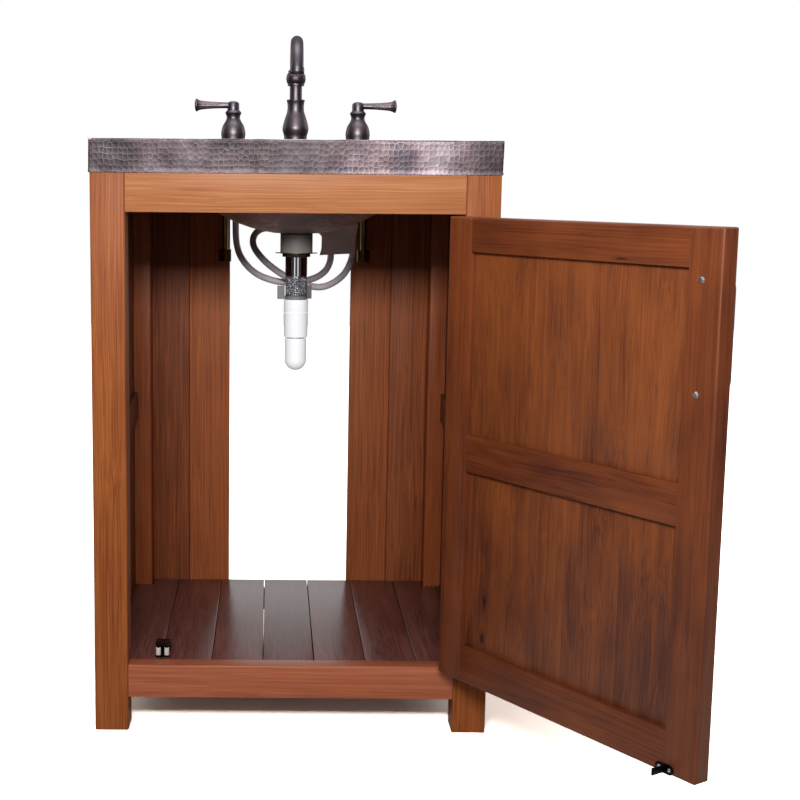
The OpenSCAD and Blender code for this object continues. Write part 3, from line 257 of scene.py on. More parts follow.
def stained_pine(name, grain, dark, pale, seed, seams=(), seam_axis=0, on_door=False, tint=0.1, gloss=0.42,
                 line=1.5, figure=0.002, streak=1.1, cloudy=0.35, strong=0.15, knots=(), shine=0.35, lean=0.0,
                 age_and_shade=(-0.25, 0.05), room=None):
    """Pine stained in a red-brown oil and lacquered satin. The eye sees straight grain lines 2 to 3 mm apart,
    broader bands of paler and darker growth, soft clouds of stain, and each glued board in its own tone.

    grain is the board's long axis, and seed moves the pattern. Boards meet at the seams along seam_axis; they
    differ by tint, and those past the last seam are paler by lean. line is the spacing of the fine lines in mm and
    figure how far they wander in m. streak, cloudy and strong weigh the fine lines, the clouds and the dark late
    wood. A knot is its middle and its half width and height. The door is darker towards its foot, partly by its
    stain and partly by a painted shade where the light falls off down the door, as aged gives for heights of 0.2
    and 0.75 m. The sides' tones are dark with a painted shade, the shade on their inner faces, and their outer
    faces are lifted out of it: room gives the middle of their thickness and the gain to its left and right."""
    material, tree, bsdf = new_material(name)
    place = add(tree, "TexCoord").outputs["Object"]
    if on_door:
        place = add(tree, "Mapping", {"Vector": place, "Location": door_shut.translation,
                                      "Rotation": (0, 0, -door_open)}).outputs["Vector"]
    turned = add(tree, "Mapping", {"Vector": place, "Rotation": GRAIN_TURN[grain],
                                   "Location": (seed * 0.37, seed * 0.23, seed * 1.7)}).outputs["Vector"]
    if seams:
        split = add(tree, "SeparateXYZ", {"Vector": place})
        board = float(seed)
        for at in seams:
            above = add(tree, "Math", {0: split.outputs[seam_axis], 1: at}, operation="GREATER_THAN")
            board = add(tree, "Math", {0: board, 1: above.outputs[0]}, operation="ADD").outputs[0]
        pick = add(tree, "TexWhiteNoise", {"W": board}, noise_dimensions="1D")
        shift = add(tree, "VectorMath", {0: pick.outputs["Color"], 1: (0.11, 0.07, 3.0)}, operation="MULTIPLY")
        turned = add(tree, "VectorMath", {0: turned, 1: shift.outputs[0]}, operation="ADD").outputs[0]
    drift = add(tree, "Mapping", {"Vector": turned, "Scale": (per(71.43), per(71.43), per(312.5))}).outputs["Vector"]
    sway = add(tree, "TexNoise", {"Vector": drift, "Scale": 1.0, "Detail": 1.5})
    sway = add(tree, "VectorMath", {0: sway.outputs["Color"], 1: (0.5, 0.5, 0.5)}, operation="SUBTRACT")
    sway = add(tree, "VectorMath", {0: sway.outputs[0], 1: (figure * 6, figure * 6, 0)}, operation="MULTIPLY")
    turned = add(tree, "VectorMath", {0: turned, 1: sway.outputs[0]}, operation="ADD").outputs[0]

    def layer(across, along, detail):
        """Noise drawn out along the grain, with its size across and along it in mm."""
        stretched = add(tree, "Mapping", {"Vector": turned, "Scale": (per(across), per(across), per(along))})
        return add(tree, "TexNoise", {"Vector": stretched.outputs["Vector"], "Scale": 1.0,
                                      "Detail": detail}).outputs["Fac"]

    fine, band, cloud, late = layer(line, 260, 2.0), layer(13, 700, 2.0), layer(70, 160, 3.0), layer(5, 420, 1.5)
    ridge = add(tree, "Math", {0: late, 1: 0.5}, operation="SUBTRACT").outputs[0]
    ridge = add(tree, "Math", {0: ridge}, operation="ABSOLUTE").outputs[0]
    ridge = add(tree, "ValToRGB", {"Fac": ridge}, ((0.0, 1.0), (0.035, 0.0))).outputs["Color"]
    mixed = add(tree, "Math", {0: fine, 1: streak}, operation="MULTIPLY").outputs[0]
    for part, weight in ((band, 0.4), (cloud, cloudy), (ridge, -strong)):
        mixed = add(tree, "Math", {0: part, 1: weight, 2: mixed}, operation="MULTIPLY_ADD").outputs[0]
    mixed = add(tree, "MapRange", {"Value": mixed, "From Min": 0.62, "From Max": 1.22}).outputs[0]
    # Darker towards the door's foot: partly its stain, partly a painted shade where the light falls off
    if on_door:
        height = add(tree, "SeparateXYZ", {"Vector": place}).outputs["Z"]
        age_and_shade_step = add(tree, "MapRange", {"Value": height, "From Min": 0.2, "From Max": 0.75,
                                     "To Min": age_and_shade[0], "To Max": age_and_shade[1]})
        mixed = add(tree, "Math", {0: mixed, 1: age_and_shade_step.outputs[0]}, operation="ADD").outputs[0]
    if seams:
        tone = add(tree, "Math", {0: pick.outputs["Value"], 1: tint * 2, 2: -tint}, operation="MULTIPLY_ADD")
        mixed = add(tree, "Math", {0: mixed, 1: tone.outputs[0]}, operation="ADD").outputs[0]
        mixed = add(tree, "Math", {0: above.outputs[0], 1: lean, 2: mixed}, operation="MULTIPLY_ADD").outputs[0]
        mixed = add(tree, "Math", {0: mixed, 1: lean / 2}, operation="SUBTRACT").outputs[0]
    colour = add(tree, "ValToRGB", {"Fac": mixed}, ((0.0, dark), (1.0, pale))).outputs["Color"]
    for at, (wide, tall) in knots:
        gap = add(tree, "VectorMath", {0: place, 1: at}, operation="SUBTRACT")
        gap = add(tree, "VectorMath", {0: gap.outputs[0], 1: (1 / wide, 0, 1 / tall)}, operation="MULTIPLY")
        gap = add(tree, "VectorMath", {0: gap.outputs[0]}, operation="LENGTH")
        core = add(tree, "ValToRGB", {"Fac": gap.outputs["Value"]},
                   ((0.0, 1.0), (0.32, 0.85), (0.45, 0.25), (1.0, 0.0)))
        colour = add(tree, "Mix", {"Factor": core.outputs["Color"], "A": colour, "B": linear(knot_brown)},
                     data_type="RGBA").outputs["Result"]
    # The sides' inner faces keep the darker tones, a painted shade; their outer faces are multiplied back up
    if room:
        middle, left_gain, right_gain = room
        outer = add(tree, "SeparateXYZ", {"Vector": place}).outputs["X"]
        outer = add(tree, "MapRange", {"Value": outer, "From Min": middle - 1 * mm, "From Max": middle + 1 * mm,
                                       "To Min": left_gain, "To Max": right_gain}).outputs[0]
        colour = add(tree, "Mix", {"Factor": 1.0, "A": colour, "B": outer}, data_type="RGBA",
                     blend_type="MULTIPLY").outputs["Result"]
    rough = add(tree, "MapRange", {"Value": fine, "To Min": gloss - 0.07, "To Max": gloss + 0.1}).outputs[0]
    relief = add(tree, "Math", {0: ridge, 1: -0.5, 2: fine}, operation="MULTIPLY_ADD").outputs[0]
    relief = add(tree, "Bump", {"Height": relief, "Strength": 0.2, "Distance": 0.3 * mm}).outputs["Normal"]
    fill(tree, bsdf, {"Base Color": colour, "Roughness": rough, "Normal": relief, "Coat Weight": shine * 0.2,
                      "Coat Roughness": 0.25, "Specular IOR Level": shine})
    return material


# Hammer marks lie in rows on the sheet, 7.4 mm apart across and 8.5 mm down, half out of order
DENT_SCALE = (per(7.4), per(8.5), 1)
DENT_ORDER = 0.5
copper_w, copper_z, cad_front = 614 * mm, 913 * mm, -510 * mm        # width, top and front of the copper


def hammered_copper(name):
    """Copper sheet beaten all over in rows with a round hammer and patinated dark. The eye sees shallow
    dishes about 8 mm across that meet in ridges with a pale painted highlight, over a grey-violet skin with pink
    and silver clouds some 90 mm across, a painted reflection that lifts the apron towards its right, and a pale
    painted highlight along the top's front edge."""
    material, tree, bsdf = new_material(name)
    sheet = add(tree, "UVMap", uv_map="sheet").outputs["UV"]
    place = add(tree, "TexCoord").outputs["Object"]
    spot = add(tree, "SeparateXYZ", {"Vector": place})
    rows = add(tree, "VectorMath", {0: sheet, 1: DENT_SCALE}, operation="MULTIPLY").outputs[0]
    edge = add(tree, "TexVoronoi", {"Vector": rows, "Scale": 1.0, "Randomness": DENT_ORDER},
               feature="DISTANCE_TO_EDGE", voronoi_dimensions="2D").outputs["Distance"]
    cell = add(tree, "TexVoronoi", {"Vector": rows, "Scale": 1.0, "Randomness": DENT_ORDER}, feature="F1",
               voronoi_dimensions="2D")
    ridge = add(tree, "ValToRGB", {"Fac": edge}, ((0.0, 1.0), (0.03, 0.7), (0.08, 0.0))).outputs["Color"]
    cloud = add(tree, "TexNoise", {"Vector": place, "Scale": per(90.91), "Detail": 4.0,
                                   "Roughness": 0.6}).outputs["Fac"]
    skin = add(tree, "ValToRGB", {"Fac": cloud},
               ((0.34, "#4f4853"), (0.46, "#675b64"), (0.55, "#867176"), (0.68, "#ae9ea6"))).outputs["Color"]
    each = add(tree, "MapRange", {"Value": cell.outputs["Color"], "To Min": 0.78, "To Max": 1.18}).outputs[0]
    skin = add(tree, "Mix", {"Factor": 1.0, "A": skin, "B": each}, data_type="RGBA",
               blend_type="MULTIPLY").outputs["Result"]
    # The pale lines along the ridges are a painted highlight, shown in patches
    ridge_highlight_patches = add(tree, "TexNoise", {"Vector": place, "Scale": per(38.46), "Detail": 2.0}).outputs["Fac"]
    ridge_highlight_patches = add(tree, "MapRange", {"Value": ridge_highlight_patches, "From Min": 0.38, "From Max": 0.62, "To Min": 0.15, "To Max": 0.7})
    shown = add(tree, "Math", {0: ridge, 1: ridge_highlight_patches.outputs[0]}, operation="MULTIPLY").outputs[0]
    colour = add(tree, "Mix", {"Factor": shown, "A": skin, "B": linear("#dcc6c8")},
                 data_type="RGBA").outputs["Result"]

    # The apron is patinated thick and dark at its left and middle, and towards its right a painted reflection of
    # a light lifts it; the top and the sides are even
    across = add(tree, "MapRange", {"Value": spot.outputs["X"], "From Max": cad_low.x + copper_w}).outputs[0]
    patina_and_reflection = add(tree, "ValToRGB", {"Fac": across}, ((0.1, 0.165), (0.33, 0.17), (0.52, 0.11), (0.7, 0.44),
                                                     (0.84, 0.56), (0.96, 0.25))).outputs["Color"]
    patina_and_reflection = add(tree, "RGBToBW", {"Color": patina_and_reflection}).outputs[0]
    behind = add(tree, "MapRange", {"Value": spot.outputs["Y"], "From Min": cad_front + 1.5 * mm,
                                    "From Max": cad_front + 5 * mm}).outputs[0]
    patina_and_reflection = add(tree, "Mix", {"Factor": behind, "A": patina_and_reflection, "B": 0.34}).outputs[0]
    colour = add(tree, "Mix", {"Factor": 1.0, "A": colour, "B": patina_and_reflection}, data_type="RGBA",
                 blend_type="MULTIPLY").outputs["Result"]

    # A pale painted highlight along the apron's top edge, in patches
    edge_highlight = add(tree, "MapRange", {"Value": spot.outputs["Z"], "From Min": copper_z - 3 * mm,
                                    "From Max": copper_z - 1 * mm, "To Max": 0.8}).outputs[0]
    outer = add(tree, "Math", {0: 1.0, 1: behind}, operation="SUBTRACT").outputs[0]
    patchy = add(tree, "MapRange", {"Value": cloud, "From Min": 0.4, "From Max": 0.6, "To Min": 0.35}).outputs[0]
    for part in (outer, patchy):
        edge_highlight = add(tree, "Math", {0: edge_highlight, 1: part}, operation="MULTIPLY").outputs[0]
    colour = add(tree, "Mix", {"Factor": edge_highlight, "A": colour, "B": linear("#d8ccd2")},
                 data_type="RGBA").outputs["Result"]
    rough = add(tree, "MapRange", {"Value": cloud, "To Min": 0.3, "To Max": 0.5}).outputs[0]
    dish = add(tree, "ValToRGB", {"Fac": edge}, ((0.0, 1.0), (0.1, 0.6), (0.5, 0.0))).outputs["Color"]
    dish = add(tree, "Bump", {"Height": dish, "Strength": 0.2, "Distance": 0.6 * mm}).outputs["Normal"]
    fill(tree, bsdf, {"Base Color": colour, "Metallic": 0.75, "Roughness": rough, "Normal": dish})
    return material


def dull_copper(name):
    """The bowl's back: the same sheet with none of the painted highlights, dark and dull, with a faint redder
    mottle. The hammer marks show through from the inside, about 9 mm apart."""
    material, tree, bsdf = new_material(name)
    place = add(tree, "TexCoord").outputs["Object"]
    cloud = add(tree, "TexNoise", {"Vector": place, "Scale": per(55.56), "Detail": 4.0}).outputs["Fac"]
    colour = add(tree, "ValToRGB", {"Fac": cloud}, ((0.35, "#857b7e"), (0.55, "#9d8a8c"), (0.7, "#c09ea2")))
    rough = add(tree, "MapRange", {"Value": cloud, "To Min": 0.42, "To Max": 0.6}).outputs[0]
    marks = add(tree, "TexVoronoi", {"Vector": place, "Scale": per(9.091)}, feature="SMOOTH_F1").outputs["Distance"]
    marks = add(tree, "Bump", {"Height": marks, "Strength": 0.6, "Distance": 3 * mm}).outputs["Normal"]
    fill(tree, bsdf, {"Base Color": colour.outputs["Color"], "Metallic": 0.6, "Roughness": rough, "Normal": marks})
    return material


def worn_metal(name, colour, worn, roughness, grit=1.4286, tint=(1, 1, 1, 1)):
    """Cast, turned or stamped metal: a body colour that shows a warmer or paler tone where hands wear it, in clouds
    some 36 mm across. Its real grit is too fine to show and is drawn 1.4 mm wide, and 5 mm wide on the chrome."""
    material, tree, bsdf = new_material(name)
    place = add(tree, "TexCoord").outputs["Object"]
    cloud = add(tree, "TexNoise", {"Vector": place, "Scale": per(35.714), "Detail": 3.0}).outputs["Fac"]
    skin = add(tree, "ValToRGB", {"Fac": cloud}, ((0.4, colour), (0.75, worn))).outputs["Color"]
    grain = add(tree, "TexNoise", {"Vector": place, "Scale": per(grit), "Detail": 2.0}).outputs["Fac"]
    rough = add(tree, "MapRange", {"Value": grain, "To Min": roughness - 0.04, "To Max": roughness + 0.06})
    relief = add(tree, "Bump", {"Height": grain, "Strength": 0.05, "Distance": 0.2 * mm}).outputs["Normal"]
    fill(tree, bsdf, {"Base Color": skin, "Metallic": 1.0, "Roughness": rough.outputs[0], "Normal": relief,
                      "Specular Tint": tint})
    return material


def knurled_chrome(name):
    """Chrome with a knurl rolled into it: facets about 1.5 mm across, some painted dark and some painted bright as
    flashing glints.
    """
    material, tree, bsdf = new_material(name)
    place = add(tree, "TexCoord").outputs["Object"]
    facet = add(tree, "TexNoise", {"Vector": place, "Scale": per(1.5385), "Detail": 1.0}).outputs["Fac"]
    colour = add(tree, "ValToRGB", {"Fac": facet}, ((0.38, "#33333a"), (0.54, "#6c6b73"), (0.68, "#d0d0d6")))
    relief = add(tree, "Bump", {"Height": facet, "Strength": 0.8, "Distance": 1 * mm}).outputs["Normal"]
    fill(tree, bsdf, {"Base Color": colour.outputs["Color"], "Metallic": 0.7, "Roughness": 0.4, "Normal": relief})
    return material


def moulded(name, colour, roughness, glow=0.0):
    """Injection moulded plastic or rubber: one even colour with a faint mottle and an orange peel of 4 mm. Thin
    white walls let some light through, which a painted glow stands for."""
    material, tree, bsdf = new_material(name)
    place = add(tree, "TexCoord").outputs["Object"]
    peel = add(tree, "TexNoise", {"Vector": place, "Scale": per(3.846), "Detail": 2.0}).outputs["Fac"]
    paler, darker = linear(colour), tuple(c * 0.9 for c in linear(colour)[:3]) + (1,)
    mottle = add(tree, "Mix", {"Factor": peel, "A": paler, "B": darker}, data_type="RGBA").outputs["Result"]
    rough = add(tree, "MapRange", {"Value": peel, "To Min": roughness - 0.04, "To Max": roughness + 0.06})
    relief = add(tree, "Bump", {"Height": peel, "Strength": 0.05, "Distance": 0.2 * mm}).outputs["Normal"]
    fill(tree, bsdf, {"Base Color": mottle, "Roughness": rough.outputs[0], "Normal": relief})
    if glow:
        fill(tree, bsdf, {"Emission Color": (0.97, 0.98, 1, 1), "Emission Strength": glow})
    return material


def steel_braid(name):
    """Dull stainless wire braid over grey rubber: crossing bands of wire with dark gaps, matt from a step away. The
    wires are 0.67 mm, coarser than real ones, so that they show."""
    material, tree, bsdf = new_material(name)
    weave = add(tree, "Attribute", attribute_name="weave").outputs["Fac"]
    colour = add(tree, "ValToRGB", {"Fac": weave}, ((0.0, "#a0969b"), (0.4, "#d4cad0"), (1.0, "#f2e9ee")))
    place = add(tree, "TexCoord").outputs["Object"]
    wire = add(tree, "TexNoise", {"Vector": place, "Scale": per(0.66667)}).outputs["Fac"]
    relief = add(tree, "Bump", {"Height": wire, "Strength": 0.2, "Distance": 0.2 * mm}).outputs["Normal"]
    fill(tree, bsdf, {"Base Color": colour.outputs["Color"], "Metallic": 0.2, "Roughness": 0.6, "Normal": relief})
    return material


def tag_paper(name):
    """Uncoated tag paper: soft fibres drawn at about 1 mm, and dents 14 mm across."""
    material, tree, bsdf = new_material(name)
    place = add(tree, "TexCoord").outputs["Object"]
    fibre = add(tree, "TexNoise", {"Vector": place, "Scale": per(1.1111), "Detail": 4.0}).outputs["Fac"]
    colour = add(tree, "ValToRGB", {"Fac": fibre}, ((0.3, "#f0dcda"), (0.7, "#fdf0ee")))
    dents = add(tree, "TexNoise", {"Vector": place, "Scale": per(14.286), "Detail": 2.0}).outputs["Fac"]
    relief = add(tree, "Bump", {"Height": dents, "Strength": 0.3, "Distance": 2 * mm}).outputs["Normal"]
    fill(tree, bsdf, {"Base Color": colour.outputs["Color"], "Roughness": 0.9, "Normal": relief})
    return material


# A painted glow for light let through the white plastic's thin walls
painted_see_through_glow = 0.22
copper = hammered_copper("hammered_patinated_copper")
bowl_back = dull_copper("unpolished_copper")
bronze = worn_metal("oil_rubbed_bronze", "#5f5a62", "#776869", 0.4, tint=(0.4, 0.38, 0.4, 1))
valve_brass = worn_metal("turned_brass", "#5c4a2a", "#7a6338", 0.36)
hinge_brass = worn_metal("stamped_brass", "#8c6c34", "#a98a4c", 0.34)
chrome = worn_metal("polished_chrome", "#b4b5ba", "#c9cace", 0.08, grit=5)
knurled = knurled_chrome("knurled_chrome")
zinc_steel = worn_metal("zinc_plated_steel", "#a7a7a9", "#c2c2c4", 0.3)
black_steel = worn_metal("blackened_steel", "#141416", "#222226", 0.35)
white_plastic = moulded("white_polypropylene", "#f8f8fc", 0.4, painted_see_through_glow)
spacer_plastic = moulded("frosted_polyethylene", "#918e8c", 0.4)
nylon = moulded("white_nylon", "#d9d6cc", 0.3)
sleeve_plastic = moulded("milky_polypropylene", "#f4f6fc", 0.2, painted_see_through_glow)
grey_plastic = moulded("grey_nylon", "#7d7b7f", 0.45)
black_plastic = moulded("black_nylon", "#1b1b1d", 0.4)
rubber = moulded("black_rubber", "#171717", 0.7)
paper = tag_paper("bare_tag_paper")
braid = steel_braid("stainless_braid")


# Wooden pieces: node, grain direction, dark and pale tones of the stain, and what else sets the board apart

edge_round, core_round = 0.9 * mm, 0.4 * mm
LEG = ("#743214", "#a35529")
FRONT_LEG = ("#7d3c1c", "#ae6636")
RAIL = ("#9c5b37", "#c08356")
LOW = ("#8d482f", "#bd6c48")
INNER = ("#67341e", "#a55b33")
# The sides' tones are dark with a painted shade, the shadow that lies on their inner faces
SIDE_IN_PAINTED_SHADE = ("#442213", "#703f28")
FLOOR = ("#4a2522", "#7d4d47")
DOOR = ("#4c2011", "#884520")
PANEL = ("#4c2318", "#955025")
cabinet_w = 610 * mm
floor_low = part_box("floor_boards")[0]
first_board, floor_pitch = 72.5 * mm, 80.5 * mm
side_first, side_pitch = -456 * mm, 84 * mm
back_seam = 120 * mm
# The sides' outer faces are lifted out of the painted shade by this gain
side_mid, gain_out_of_painted_shade = 15.5 * mm, 2.0
LEFT_SIDE = {"shine": 0.2, "room": (side_mid, gain_out_of_painted_shade, 1.0)}
RIGHT_SIDE = {"shine": 0.2, "room": (cabinet_w - side_mid, 1.0, gain_out_of_painted_shade)}
SIDE_BOARDS = {"seams": [side_first + k * side_pitch for k in range(6)], "seam_axis": 1}
BACK = {"shine": 0.15, "gloss": 0.5, "tint": 0.02}
ON_DOOR = {"on_door": True, "streak": 0.6, "cloudy": 0.9}

WOOD = {
    "leg_front_left": ("Z", FRONT_LEG, {"shine": 0.1}),
    "leg_front_right": ("Z", FRONT_LEG, {"shine": 0.1}),
    "leg_rear_left": ("Z", LEG, {}),
    "leg_rear_right": ("Z", LEG, {}),
    "front_top_rail": ("X", RAIL, {"strong": 0.08, "shine": 0.12}),
    "front_bottom_rail": ("X", LOW, {"strong": 0.1}),
    "rear_top_rail": ("X", LEG, {}),
    "rear_bottom_rail": ("X", LEG, {}),
    "side_rails_left": ("Y", SIDE_IN_PAINTED_SHADE, LEFT_SIDE),
    "side_rails_right": ("Y", SIDE_IN_PAINTED_SHADE, RIGHT_SIDE),
    "side_panels_left": ("Z", SIDE_IN_PAINTED_SHADE, {**LEFT_SIDE, **SIDE_BOARDS}),
    "side_panels_right": ("Z", SIDE_IN_PAINTED_SHADE, {**RIGHT_SIDE, **SIDE_BOARDS}),
    "back_boards_left": ("Z", INNER, {**BACK, "seams": (back_seam,), "lean": 0.5}),
    "back_boards_right": ("Z", INNER, {**BACK, "seams": (cabinet_w - back_seam,), "lean": -0.2}),
    "floor_boards": ("Y", FLOOR, {"seams": [floor_low.x + first_board + k * floor_pitch for k in range(6)],
                                  "gloss": 0.3, "line": 2.0, "figure": 0.006, "strong": 0.25}),
    "floor_bearer": ("X", INNER, {}),
    "top_cleats": ("Y", INNER, {}),
    "door_hinge_stile": ("Z", DOOR, ON_DOOR),
    "door_free_stile": ("Z", DOOR, ON_DOOR),
    "door_top_rail": ("X", DOOR, {**ON_DOOR, "knots": (((0.215, 0, 0.758), (0.024, 0.003)),)}),
    "door_mid_rail": ("X", DOOR, ON_DOOR),
    "door_bottom_rail": ("X", DOOR, ON_DOOR),
    "door_panels": ("Z", PANEL, {"on_door": True, "seams": (202.6 * mm, 303.6 * mm), "line": 1.4, "strong": 0.1,
                                 "tint": 0.12, "streak": 0.7, "cloudy": 0.8, "figure": 0.006, "age_and_shade": (-0.2, 0.14),
                                 "knots": (((0.4656, 0, 0.184), (0.013, 0.021)),
                                           ((0.463, 0, 0.241), (0.009, 0.026)))}),
}
WEAR = {"front_bottom_rail": worn_arris, "door_free_stile": worn_corners}
for seed, (node, (grain, tones, more)) in enumerate(WOOD.items(), 1):
    wood = stained_pine(node + "_pine", grain, *tones, seed=seed, **more)
    dress(node, wood, edge_round, WEAR.get(node))

plywood = stained_pine("raw_plywood", "X", "#6b4e34", "#a08060", seed=31, gloss=0.7)
dress("top_core", plywood, core_round)


# Copper top: the outer skin is cut into a fine grid and each hammer mark is pressed into it

bowl_low, bowl_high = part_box("sink_bowl")
bowl_mid = (bowl_low + bowl_high) / 2
bowl_wall, bowl_flange, bowl_hole = 2 * mm, 14 * mm, 22.4 * mm
bowl_a = (bowl_high.x - bowl_low.x) / 2 - bowl_flange
bowl_b = (bowl_high.y - bowl_low.y) / 2 - bowl_flange
bowl_drop = bowl_high.z - bowl_low.z
skin_depth, rim_fade, dent_grid, edge_fold = 1.2 * mm, 5 * mm, 2.6 * mm, 2.4 * mm
mark_depth, sway_depth = 0.2 * mm, 0.9 * mm
oval_reach, tap_clear = 150 * mm, 25 * mm        # the marks fade out towards the bowl's rim and the tap's bases
TAP_JOINTS = ("handle_left_turn", "spout_swivel", "handle_right_turn")


def cut_across(bm, geom, axis, low, high, spacing):
    """Cuts geometry along evenly spaced planes square to an axis."""
    normal = Vector([float(i == axis) for i in range(3)])
    count = round((high - low) / spacing)
    for k in range(1, count):
        geom = bmesh.ops.bisect_plane(bm, geom=geom, dist=1e-6, plane_co=normal * (low + (high - low) * k / count),
                                      plane_no=normal)["geom"]
    return geom


def dent_nodes():
    """Geometry nodes that press the hammer marks in along each point's normal, as deep as its own dent value, and
    let the sheet sway in waves some 42 mm long."""
    tree = bpy.data.node_groups.new("hammer_marks", "GeometryNodeTree")
    for way in ("INPUT", "OUTPUT"):
        tree.interface.new_socket("Geometry", in_out=way, socket_type="NodeSocketGeometry")
    sheet = add(tree, "GeometryNodeInputNamedAttribute", {"Name": "sheet"}, data_type="FLOAT_VECTOR")
    depth = add(tree, "GeometryNodeInputNamedAttribute", {"Name": "dent"}, data_type="FLOAT")
    rows = add(tree, "VectorMath", {0: sheet.outputs[0], 1: DENT_SCALE}, operation="MULTIPLY")
    edge = add(tree, "TexVoronoi", {"Vector": rows.outputs[0], "Scale": 1.0, "Randomness": DENT_ORDER},
               feature="DISTANCE_TO_EDGE", voronoi_dimensions="2D")
    dish = add(tree, "MapRange", {"Value": edge.outputs["Distance"], "From Max": 0.4, "To Max": -mark_depth})
    sway = add(tree, "TexNoise", {"Scale": per(41.667), "Detail": 1.0})
    sway = add(tree, "MapRange", {"Value": sway.outputs[0], "From Min": 0.3, "From Max": 0.7,
                                  "To Min": -sway_depth, "To Max": 0.0})
    deep = add(tree, "Math", {0: dish.outputs[0], 1: sway.outputs[0]}, operation="ADD")
    deep = add(tree, "Math", {0: deep.outputs[0], 1: depth.outputs[0]}, operation="MULTIPLY")
    normal = add(tree, "GeometryNodeInputNormal")
    push = add(tree, "VectorMath", {0: normal.outputs[0], "Scale": deep.outputs[0]}, operation="SCALE")
    start = add(tree, "NodeGroupInput")
    move = add(tree, "GeometryNodeSetPosition", {"Geometry": start.outputs[0], "Offset": push.outputs[0]})
    add(tree, "NodeGroupOutput", {0: move.outputs[0]})
    return tree


hammer_marks = dent_nodes()


def press_dents(piece):
    """Presses the hammer marks into a piece's mesh for good."""
    piece.modifiers.new("dents", "NODES").node_group = hammer_marks
    seen = piece.evaluated_get(bpy.context.evaluated_depsgraph_get())
    pressed = bpy.data.meshes.new_from_object(seen)
    piece.modifiers.clear()
    piece.data = pressed


def copper_sheet():
    """The copper top with a folded rim, its outer faces gridded, and two layers for its hammer marks: where each
    point lies on the sheet, and how deep the marks are there, fading out at the bowl, the tap's bases and the hem."""
    bm = joined_copy("copper_top")
    low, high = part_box("copper_top")
    rim = [e for e in bm.edges if all(min(v.co.x - low.x, high.x - v.co.x, v.co.y - low.y, high.y - v.co.y)
                                      < 0.05 * mm for v in e.verts)
           and e.calc_face_angle(0) > 0.4 and max(v.co.z for v in e.verts) > high.z - 0.05 * mm]
    round_off(bm, rim, edge_fold, 4)
    outer = ((2, 1, high.z), (1, -1, low.y), (0, -1, low.x), (0, 1, high.x), (1, 1, high.y))
    skin = [face for face in bm.faces
            if any(face.normal[axis] * way > 0.3 and abs(face.calc_center_median()[axis] - at) < skin_depth
                   for axis, way, at in outer)]
    geom = list({e for f in skin for e in f.edges} | {v for f in skin for v in f.verts}) + skin
    for axis in range(3):
        geom = cut_across(bm, geom, axis, low[axis], high[axis], dent_grid)
    sheet = bm.loops.layers.uv.new("sheet")
    dent = bm.verts.layers.float.new("dent")
    holes = [Vector((JOINTS[name]["pos_m"][0], JOINTS["spout_swivel"]["pos_m"][1])) for name in TAP_JOINTS]
    for vert in bm.verts:
        spot = vert.co
        oval = Vector(((spot.x - bowl_mid.x) / bowl_a, (spot.y - bowl_mid.y) / bowl_b)).length
        edge = min((oval - 1) * oval_reach, *((spot.xy - hole).length - tap_clear for hole in holes))
        if spot.z < high.z - 2 * mm:
            edge = spot.z - low.z
        vert[dent] = min(1.0, max(0.0, edge / rim_fade))
    for face in bm.faces:
        out = face.normal
        drop = 2 if abs(out.z) > 0.7 else (1 if abs(out.y) > abs(out.x) else 0)
        for loop in face.loops:
            loop[sheet].uv = [c for axis, c in enumerate(loop.vert.co) if axis != drop]
    return bm


bm = copper_sheet()
shade_by_angle(bm, 40)
press_dents(stand_in("copper_top_finished", bm, "copper_top", copper))


# Bowl: one turned wall, squeezed to its oval, hammered inside and plain outside

def bowl_outline(reach, depth, steps, seat=38 * mm):
    """Radius and drop of points down the side of the bowl, from its rim to its flat seat."""
    start = math.asin(seat / reach)
    turns = [math.pi / 2 + (start - math.pi / 2) * k / steps for k in range(steps + 1)]
    return [(reach * math.sin(q), depth * math.cos(q) / math.cos(start)) for q in turns]


def turned_shape(outline, steps, centre=(0, 0, 0), close=True):
    """A shape turned round a vertical axis from points of radius and height."""
    bm = bmesh.new()
    verts = [bm.verts.new((r, 0, z)) for r, z in outline]
    edges = [bm.edges.new(pair) for pair in zip(verts, verts[1:] + (verts[:1] if close else []))]
    bmesh.ops.spin(bm, geom=verts + edges, cent=(0, 0, 0), axis=(0, 0, 1), angle=2 * math.pi, steps=steps,
                   use_merge=True)
    bmesh.ops.remove_doubles(bm, verts=bm.verts, dist=0.01 * mm)
    bmesh.ops.translate(bm, verts=bm.verts, vec=centre)
    bmesh.ops.recalc_face_normals(bm, faces=bm.faces)
    return bm


bowl_dent = 0.8
inside = bowl_outline(bowl_a - bowl_wall, bowl_drop - bowl_wall, 62)
outside = bowl_outline(bowl_a, bowl_drop, 14)
profile = [(bowl_a + bowl_flange, 0), *((r, -z) for r, z in inside), (bowl_hole, bowl_wall - bowl_drop),
           (bowl_hole, -bowl_drop), *((r, -z) for r, z in reversed(outside[1:])),
           (bowl_a + 0.2 * mm, -bowl_wall), (bowl_a + bowl_flange, -bowl_wall)]
bm = turned_shape(profile, 260)
sheet = bm.loops.layers.uv.new("sheet")
dent = bm.verts.layers.float.new("dent")
arc, travelled = {}, bowl_hole        # length along the wall from the bowl's middle to each radius
for (r0, z0), (r1, z1) in zip([(bowl_hole, bowl_drop - bowl_wall)] + inside[::-1], inside[::-1]):
    travelled += math.hypot(r1 - r0, z1 - z0)
    arc[round(r1, 7)] = travelled
for face in bm.faces:
    middle = face.calc_center_median()
    hidden = face.normal.dot(Vector((middle.x, middle.y, middle.z * 2))) > 0 or middle.z < -bowl_drop + 1 * mm
    face.material_index = int(hidden)
    for loop in face.loops:
        flat = loop.vert.co.xy
        reach = arc.get(round(flat.length, 7), flat.length)
        loop[sheet].uv = flat.normalized() * reach
        if not hidden and bowl_hole + 4 * mm < flat.length < bowl_a - 6 * mm:
            loop.vert[dent] = bowl_dent
